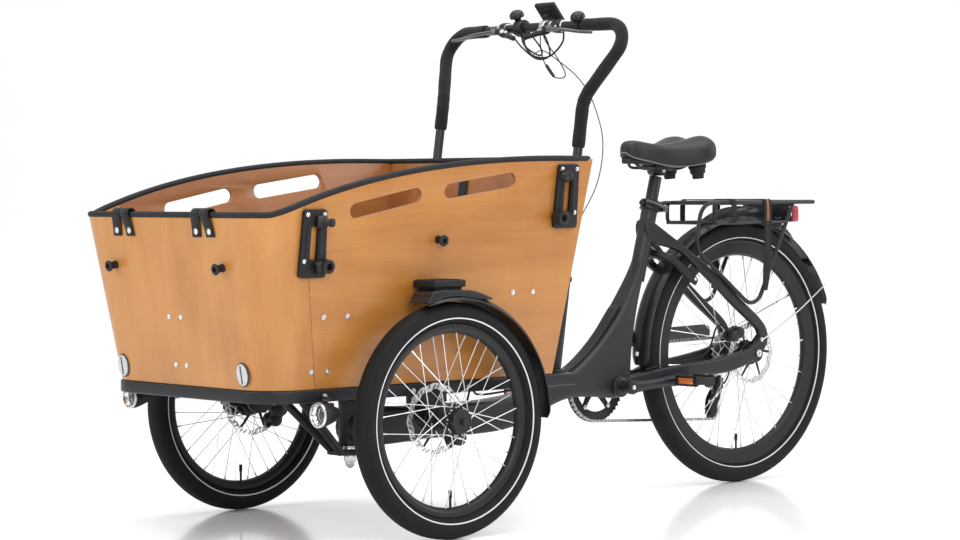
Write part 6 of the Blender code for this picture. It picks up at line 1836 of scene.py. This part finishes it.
def cranks():
    """Both crank arms, the spindle and spider, the chainring with its guard, and the bolts."""
    left = bmesh.new()
    crank_arm(left, 1, 0.070, 0.086)
    piece("left_crank_forging", left, CHASSIS_PAINT, "crank_set", ["left_crank_arm"])
    right = bmesh.new()
    crank_arm(right, -1, 0.068, 0.084)
    cylinder(right, at(BRACKET[0], -0.072, BRACKET[1]), at(BRACKET[0], 0.0696, BRACKET[1]), 0.0086, sides=24)
    spider = [Vector((math.cos(a + 0.3), 0, math.sin(a + 0.3))) for a in angles(5)]
    for out in spider:
        root = at(BRACKET[0], CHAIN_Y - 0.010, BRACKET[1]) + out * 0.012
        tip = at(BRACKET[0], CHAIN_Y - 0.0045, BRACKET[1]) + out * 0.066
        tube(right, [root, root.lerp(tip, 0.5), tip], 0.008, sides=14, flat=Vector((0, 1, 0)),
             radii=[(0.0130, 0.0050), (0.0085, 0.0038), (0.0070, 0.0026)])
    piece("right_crank_forging", right, CHASSIS_PAINT, "crank_set", ["right_crank"])
    here = side_plane(CHAIN_Y - 0.0005) @ Matrix.Translation((*BRACKET, 0))
    loops = [teeth(44, CHAINRING_R - 0.0004), circle((0, 0), CHAINRING_R - 0.0235, 72)]
    piece("chainring", plate(bmesh.new(), loops, 0.0024, here, 0.0004, 1), BAR_PAINT, "crank_set")
    guard_at = side_plane(CHAIN_Y - 0.0072) @ Matrix.Translation((*BRACKET, 0))
    rim = [circle((0, 0), CHAINRING_R + 0.0040, 96), circle((0, 0), CHAINRING_R - 0.0200, 72)]
    piece("chainring_guard", plate(bmesh.new(), rim, 0.0024, guard_at, 0.0007, 2), PLASTIC, "crank_set")
    spots = []
    for out in spider:
        for lift, way in ((-0.0088, -1), (0.0012, 1)):
            spots.append((at(BRACKET[0], CHAIN_Y + lift, BRACKET[1]) + out * 0.0655, Vector((0, way, 0))))
    spots.append((at(BRACKET[0], 0.0862, BRACKET[1]), Vector((0, 1, 0))))
    screws("crank_bolts", spots, 0.0046, "crank_set")


def pedal(side, word):
    """A platform pedal: barrel, open cage, cross ribs, grip strips and reflectors."""
    body, tip = f"{word}_pedal_body", crank_end(side)
    centre = at(tip.x, side * PEDAL_Y, tip.z)

    def block(bm, low, high, soft, segments=2):
        box(bm, centre + Vector(low), centre + Vector(high), soft=soft, segments=segments)

    half = Vector((0, 0.036, 0))
    bm = cylinder(bmesh.new(), centre - half, centre + half, 0.0098, sides=28, soft=0.002)
    for dx in (-0.0295, 0.0295):
        block(bm, (dx - 0.0042, -0.037, -0.0122), (dx + 0.0042, 0.037, 0.0122), 0.002, 3)
    for dy in (-0.0335, 0.0, 0.0335):
        block(bm, (-0.029, dy - 0.0036, -0.0090), (0.029, dy + 0.0036, 0.0090), 0.0016)
    piece(f"{word}_pedal_cage", bm, PLASTIC, body, [f"{word}_pedal"])
    pads = bmesh.new()
    for dx in (-0.0295, 0.0295):
        for k in range(5):
            y0 = -0.0350 + 0.0146 * k
            for low, high in ((0.0118, 0.0130), (-0.0130, -0.0118)):
                block(pads, (dx - 0.0034, y0, low), (dx + 0.0034, y0 + 0.0100, high), 0.0004)
    piece(f"{word}_pedal_grips", pads, RUBBER, body)
    glow = bmesh.new()
    for dx in (-0.0338, 0.0338):
        low, high = sorted((dx, dx * 1.02))
        block(glow, (low, -0.025, -0.0072), (high, 0.025, 0.0072), 0.0006)
    piece(f"{word}_pedal_reflectors", glow, ORANGE_LENS, body)


def chain_guard():
    """A rounded channel over the chain's upper run."""
    start, end = Vector((-0.905, 0, 0.378)), Vector((-1.232, 0, 0.386))
    run = end - start
    tilt = Matrix.Rotation(math.atan2(run.z, -run.x), 4, "Y")
    matrix = Matrix.Translation(at(start.x, CHAIN_Y - 0.002, start.z)) @ tilt
    half_turn = [math.pi * i / 12 for i in range(13)]
    section = [(0.0115, -0.0138)]
    section += [(0.0115 * math.cos(a), 0.0070 + 0.0108 * math.sin(a)) for a in half_turn]
    section += [(-0.0115, -0.0138), (-0.0092, -0.0138)]
    section += [(0.0092 * math.cos(a), 0.0065 + 0.0092 * math.sin(a)) for a in reversed(half_turn)]
    section.append((0.0092, -0.0138))
    bm, rings = bmesh.new(), []
    for i in range(25):
        share = i / 24
        slim = 1 - 0.22 * max(0.0, 1 - min(share, 1 - share) / 0.06) ** 2
        ring = [matrix @ Vector((-run.length * share, y * slim, z * slim)) for y, z in section]
        rings.append([bm.verts.new(p) for p in ring])
    ring_faces(bm, rings, False)
    piece("chain_guard_channel", bm, GREY_PLASTIC, REAR, ["chain_guard"])


# ---------------------------------------------------------------- rear fittings
RACK_Y, RACK_Z, RACK_END = 0.0826, 0.714, -1.488


def around_axle(degrees, radius, y=0.0):
    """A point at this angle and distance round the rear axle."""
    a = math.radians(degrees)
    return AXLE + Vector((radius * math.cos(a), y, radius * math.sin(a)))


def rear_mudguard():
    """The rear mudguard with the pod on its crown, two wire stays and the fixing plates."""
    sheet = mudguard_sheet(bmesh.new(), AXLE, 0.3488, 0.0300, 161, -3, steps=110, drop=0.010)
    piece("rear_mudguard_sheet", sheet, GUARD_PLASTIC, REAR, ["rear_mudguard"])
    pod = bmesh.new()
    line = [around_axle(d, 0.352) for d in range(128, 66, -3)]
    swell = [math.sin(math.pi * (i + 0.25) / (len(line) - 0.5)) ** 0.45 for i in range(len(line))]
    radii = [(0.0215 * s, 0.0095 * s) for s in swell]
    tube(pod, line, 0.01, sides=24, radii=radii, flat=Vector((0, 1, 0)))
    piece("mudguard_pod", pod, GUARD_PLASTIC, REAR)
    for side, word in SIDES:
        top = around_axle(152, 0.350, side * 0.027)
        low = AXLE + Vector((-0.010, side * (DROPOUT_Y + 0.011), 0.030))
        wires = smooth([top, top.lerp(low, 0.5) + Vector((0, side * 0.010, 0)), low], 8)
        piece(f"mudguard_stay_{word[0]}", tube(bmesh.new(), wires, 0.0020, sides=10), STEEL, REAR)
    plates = bmesh.new()
    for d in (20, 57, 140):
        turn = Matrix.Rotation(math.radians(90 - d), 4, "Y")
        here = Matrix.Translation(around_axle(d, 0.3415)) @ turn
        box(plates, (-0.008, -0.020, -0.0015), (0.008, 0.020, 0.0015), here, 0.0012)
    piece("mudguard_plates", plates, CHASSIS_PAINT, REAR)


def rear_rack():
    """A tubular rack: side loops, lower rails, cross bars and the bracket of the tail light."""
    bm = bmesh.new()
    leg = ((-1.30, RACK_Z), (-1.078, RACK_Z), (-1.056, 0.600), (-1.269, 0.441), (-1.411, RACK_Z))
    nose = ((-1.150, RACK_Z), (-1.122, RACK_Z), (-1.122, 0.664), (-1.150, 0.664))
    for side, _ in SIDES:
        y = side * RACK_Y
        tube(bm, rounded([at(x, y, z) for x, z in leg], (0.045, 0.045, 0.040), 12), 0.0052, sides=16)
        tube(bm, rounded([at(x, y, z) for x, z in nose], (0.012, 0.012), 8), 0.0048, sides=16)
        cylinder(bm, at(-1.140, y, RACK_Z), at(RACK_END, y, RACK_Z), 0.0056, sides=18, soft=0.0015)
        cylinder(bm, at(-1.146, y, 0.664), at(-1.386, y, 0.664), 0.0045, sides=16)
    cylinder(bm, at(-1.122, -RACK_Y, 0.664), at(-1.122, RACK_Y, 0.664), 0.0045, sides=16)
    for x in (-1.140, -1.255, -1.360, RACK_END + 0.006):
        cylinder(bm, at(x, -RACK_Y, RACK_Z), at(x, RACK_Y, RACK_Z), 0.0054, sides=16)
    box(bm, at(-1.410, -RACK_Y + 0.002, 0.675), at(-1.394, RACK_Y - 0.002, RACK_Z - 0.002), soft=0.003)
    box(bm, at(-1.4508, -0.022, 0.671), at(-1.404, 0.022, RACK_Z - 0.007), soft=0.003)
    piece("rack_tubes", bm, BAR_PAINT, REAR, ["rear_rack"])


def rack_straps():
    """The elastic strap over the deck with its stripe and rubber hooks, and a shorter one ahead."""
    y = RACK_Y + 0.0075
    for n, (x, drop, wide, bands) in enumerate(((-1.308, 0.128, 0.0088, 3), (-1.185, 0.050, 0.0085, 2))):
        for k in range(bands):
            stripe = (n, k) == (0, 1)
            dx, fall = (k - (bands - 1) / 2) * wide, drop * 0.36 if stripe else drop
            half = [(y + 0.0008, RACK_Z - fall), (y + 0.0010, RACK_Z - fall * 0.5), (y, RACK_Z - 0.004),
                    (y - 0.004, RACK_Z + 0.0065), (y - 0.020, RACK_Z + 0.0078)]
            line = half + [(0, RACK_Z + 0.0078)] + [(-a, z) for a, z in reversed(half)]
            band = strap(bmesh.new(), smooth([at(x + dx, a, z) for a, z in line], 6), wide, 0.0024, (1, 0, 0))
            piece(f"rack_strap_{n}_{k}", band, ELASTIC_TAN if stripe else STRAP, REAR)
    for side, word in SIDES:
        core = [at(-1.308, side * (RACK_Y + 0.0082), RACK_Z - drop) for drop in (0.040, 0.090, 0.130)]
        core = strap(bmesh.new(), core, 0.0088, 0.0022, (1, 0, 0))
        piece(f"rack_strap_core_{word}", core, STRAP_BROWN, REAR)
        top = at(-1.310, side * (RACK_Y + 0.0083), RACK_Z - 0.124)
        low = at(-1.297, side * (RACK_Y + 0.0085), RACK_Z - 0.222)
        line, radii = [], []
        for share in (i / 10 for i in range(11)):
            line.append(top.lerp(low, share))
            radii.append((0.0165 - 0.0085 * share ** 1.3, 0.0040 + 0.0010 * math.sin(math.pi * share)))
        hook = tube(bmesh.new(), line, 0.01, sides=18, radii=radii, flat=Vector((0, 1, 0)))
        piece(f"rack_hook_{word}", hook, RUBBER, REAR)


def tail_light():
    """A red lens on a black back plate, with the fixing bolts of the lamp bracket."""
    low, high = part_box("tail_light")
    lens_part = box(bmesh.new(), low, high - Vector((0.001, 0, 0)), soft=0.006, segments=4)
    piece("tail_light_lens", lens_part, RED_LENS, REAR, ["tail_light"])
    near = (high.x - 0.001, low.y + 0.002, low.z + 0.002)
    far = (high.x + 0.006, high.y - 0.002, high.z - 0.002)
    piece("tail_light_back", box(bmesh.new(), near, far, soft=0.002), PLASTIC, REAR)
    spots = [(at(x, side * (RACK_Y - 0.001), z), Vector((0, side, 0))) for side, _ in SIDES
             for x, z in ((-1.4020, 0.700), (-1.4020, 0.684))]
    screws("lamp_bracket_bolts", spots, 0.0042, REAR)


LOCK_TIP, LOCK_RISE, LOCK_ARCH = Vector((-1.098, 0.0, 0.514)), math.radians(34), 0.085


def ring_lock():
    """A horseshoe lock straddling the tyre below the stays: case, side cover, key barrel and shackle."""
    along = Vector((math.cos(LOCK_RISE), 0, math.sin(LOCK_RISE)))
    left = Vector((0, 1, 0))
    matrix = axes(left, along, left.cross(along), at(*LOCK_TIP))
    outer = circle((0, LOCK_ARCH), 0.0568, 33, 0, math.pi)
    inner = circle((0, LOCK_ARCH), 0.0375, 25, math.pi, -math.pi)
    toe_out = [(-0.0525, 0.012), (-0.0500, 0.004), (-0.0460, 0.0), (-0.0420, 0.004), (-0.0395, 0.012)]
    loop = [*((-x, y) for x, y in reversed(toe_out)), *outer, *toe_out, *inner]
    bm = plate(bmesh.new(), [loop], 0.0195, matrix, 0.0055, 5)
    cover = [matrix @ Vector((0.0500, y, 0.0)) for y in (0.010, 0.030, 0.055, 0.080, 0.098)]
    radii = [(0.0085, 0.0060), (0.0120, 0.0072), (0.0128, 0.0078), (0.0120, 0.0078), (0.0080, 0.0060)]
    tube(bm, cover, 0.01, sides=20, radii=radii, flat=left)
    piece("ring_lock_case", bm, PLASTIC, REAR, ["ring_lock"])
    barrel = matrix @ Vector((0.0560, 0.020, 0))
    keyway = [(0.0001, 0.0035), (0.0036, 0.0035), (0.0046, 0.0026), (0.0046, -0.0020), (0.0001, -0.0020)]
    piece("ring_lock_barrel", lathe(bmesh.new(), keyway, barrel, steps=32), STEEL, REAR)
    bow = [matrix @ Vector((x, y, -0.0112)) for x, y in circle((0, LOCK_ARCH), 0.0440, 25, 0, math.pi)]
    piece("ring_lock_shackle", tube(bmesh.new(), bow, 0.0026, sides=12), STEEL, REAR)


def rear_calliper():
    """The rear disc calliper on the left stay, with its bridge and hose."""
    y = middle("rear_rotor").y
    spot = AXLE + Vector((0.062, 0, 0.050))
    bm = bmesh.new()
    for middle_y in (y - 0.0105, y + 0.0105):
        for dx, dz in ((-0.010, 0.004), (0.010, -0.004)):
            inner = Vector((spot.x + dx, middle_y - 0.0065, spot.z + dz))
            cylinder(bm, inner, inner + Vector((0, 0.013, 0)), 0.0145, sides=32, soft=0.003)
    bends = ((-0.019, 0.013), (0.0, 0.016), (0.021, 0.008))
    tube(bm, [Vector((spot.x + dx, y, spot.z + dz)) for dx, dz in bends], 0.0055, sides=16)
    piece("rear_calliper", bm, CHASSIS_PAINT, REAR)
    hose = [spot + Vector((0.018, y - 0.004, 0.016)), spot + Vector((0.060, 0.052, 0.020)),
            at(-1.12, 0.050, 0.335), at(-1.00, 0.036, 0.316), at(-0.93, 0.034, 0.305)]
    piece("rear_hose", tube(bmesh.new(), smooth(hose, 8), 0.0024, sides=10), RUBBER, REAR)


main_frame()
frame_fittings()
seat_fixing()
saddle()
saddle_rails()
chain()
cassette()
pulleys()
derailleur()
cranks()
for side, word in SIDES:
    pedal(side, word)
chain_guard()
rear_mudguard()
rear_rack()
rack_straps()
tail_light()
ring_lock()
rear_calliper()


# ---------------------------------------------------------------- stage, light and camera
def look(name, place, yaw, pitch, roll, millimetres):
    """A camera at place, looking along yaw and pitch in degrees and rolled by roll."""
    yaw, pitch, roll = (math.radians(a) for a in (yaw, pitch, roll))
    forward = Vector((math.cos(yaw) * math.cos(pitch), math.sin(yaw) * math.cos(pitch), math.sin(pitch)))
    right = forward.cross(Vector((0, 0, 1))).normalized()
    up = right.cross(forward)
    across = right * math.cos(roll) + up * math.sin(roll)
    above = up * math.cos(roll) - right * math.sin(roll)
    data = bpy.data.cameras.new(name)
    data.lens = millimetres
    data.sensor_width = 36
    data.clip_end = 60
    camera = bpy.data.objects.new(name, data)
    bpy.context.scene.collection.objects.link(camera)
    camera.matrix_world = axes(across, above, -forward, place)
    bpy.context.scene.camera = camera


def backdrop():
    """A pale, faintly glossy floor that sweeps up into the back wall."""
    bm = bmesh.new()
    yaw = math.radians(229.06)
    away = Vector((math.cos(yaw), math.sin(yaw), 0))
    aside = Vector((-away.y, away.x, 0))
    profile = [(-9.0, 0.0), (-3.0, 0.0), (3.0, 0.0)]
    for i in range(1, 25):
        a = math.pi / 2 * i / 24
        profile.append((3.0 + 2.5 * math.sin(a), 2.5 - 2.5 * math.cos(a)))
    profile.append((5.5, 9.0))
    rows = [[bm.verts.new(away * d + aside * s + Vector((0, 0, z))) for s in (-12, 12)] for d, z in profile]
    for a, b in zip(rows, rows[1:]):
        bm.faces.new((a[0], a[1], b[1], b[0]))
    mesh = bpy.data.meshes.new("studio_sweep")
    bm.to_mesh(mesh)
    bm.free()
    mesh.shade_smooth()
    made = bpy.data.objects.new("studio_sweep", mesh)
    bpy.context.scene.collection.objects.link(made)
    n = Nodes("studio_white", Specular_IOR_Level=0.35)
    tone = [(0.3, (0.925, 0.926, 0.928)), (0.7, (0.955, 0.956, 0.957))]
    n.link(n.ramp(n.noise(0.8, 2), tone), "Base Color")
    n.link(n.spread(n.noise(3, 3), 0.10, 0.16), "Roughness")
    mesh.materials.append(n.material)
    return made


def area_light(name, place, target, size, power):
    """A rectangular lamp at place, turned to target."""
    data = bpy.data.lights.new(name, "AREA")
    data.shape = "RECTANGLE"
    data.size, data.size_y = size
    data.energy = power
    lamp = bpy.data.objects.new(name, data)
    bpy.context.scene.collection.objects.link(lamp)
    lamp.location = place
    lamp.rotation_euler = (Vector(target) - Vector(place)).to_track_quat("-Z", "Y").to_euler()
    return lamp


def studio():
    """A pale world, the backdrop and four large lamps."""
    world = bpy.data.worlds.new("studio")
    bpy.context.scene.world = world
    world.use_nodes = True
    world.node_tree.nodes["Background"].inputs["Color"].default_value = (0.985, 0.992, 1.0, 1)
    world.node_tree.nodes["Background"].inputs["Strength"].default_value = 0.75
    backdrop()
    area_light("overhead", (0.2, 0.4, 3.6), (0, 0, 0.4), (4.0, 3.2), 130)
    area_light("near_side", (2.4, 4.2, 2.4), (0, 0, 0.5), (3.0, 2.0), 95)
    area_light("front_side", (4.4, -1.2, 2.2), (0.4, 0, 0.5), (2.4, 2.0), 60)
    area_light("rear_side", (-3.6, 2.6, 2.2), (-0.6, 0, 0.6), (2.2, 1.8), 50)
    bpy.context.scene.view_settings.view_transform = "Standard"


studio()
look("main_view", at(3.855, 4.928, 0.765), 229.06, -1.78, -0.30, 104.1)
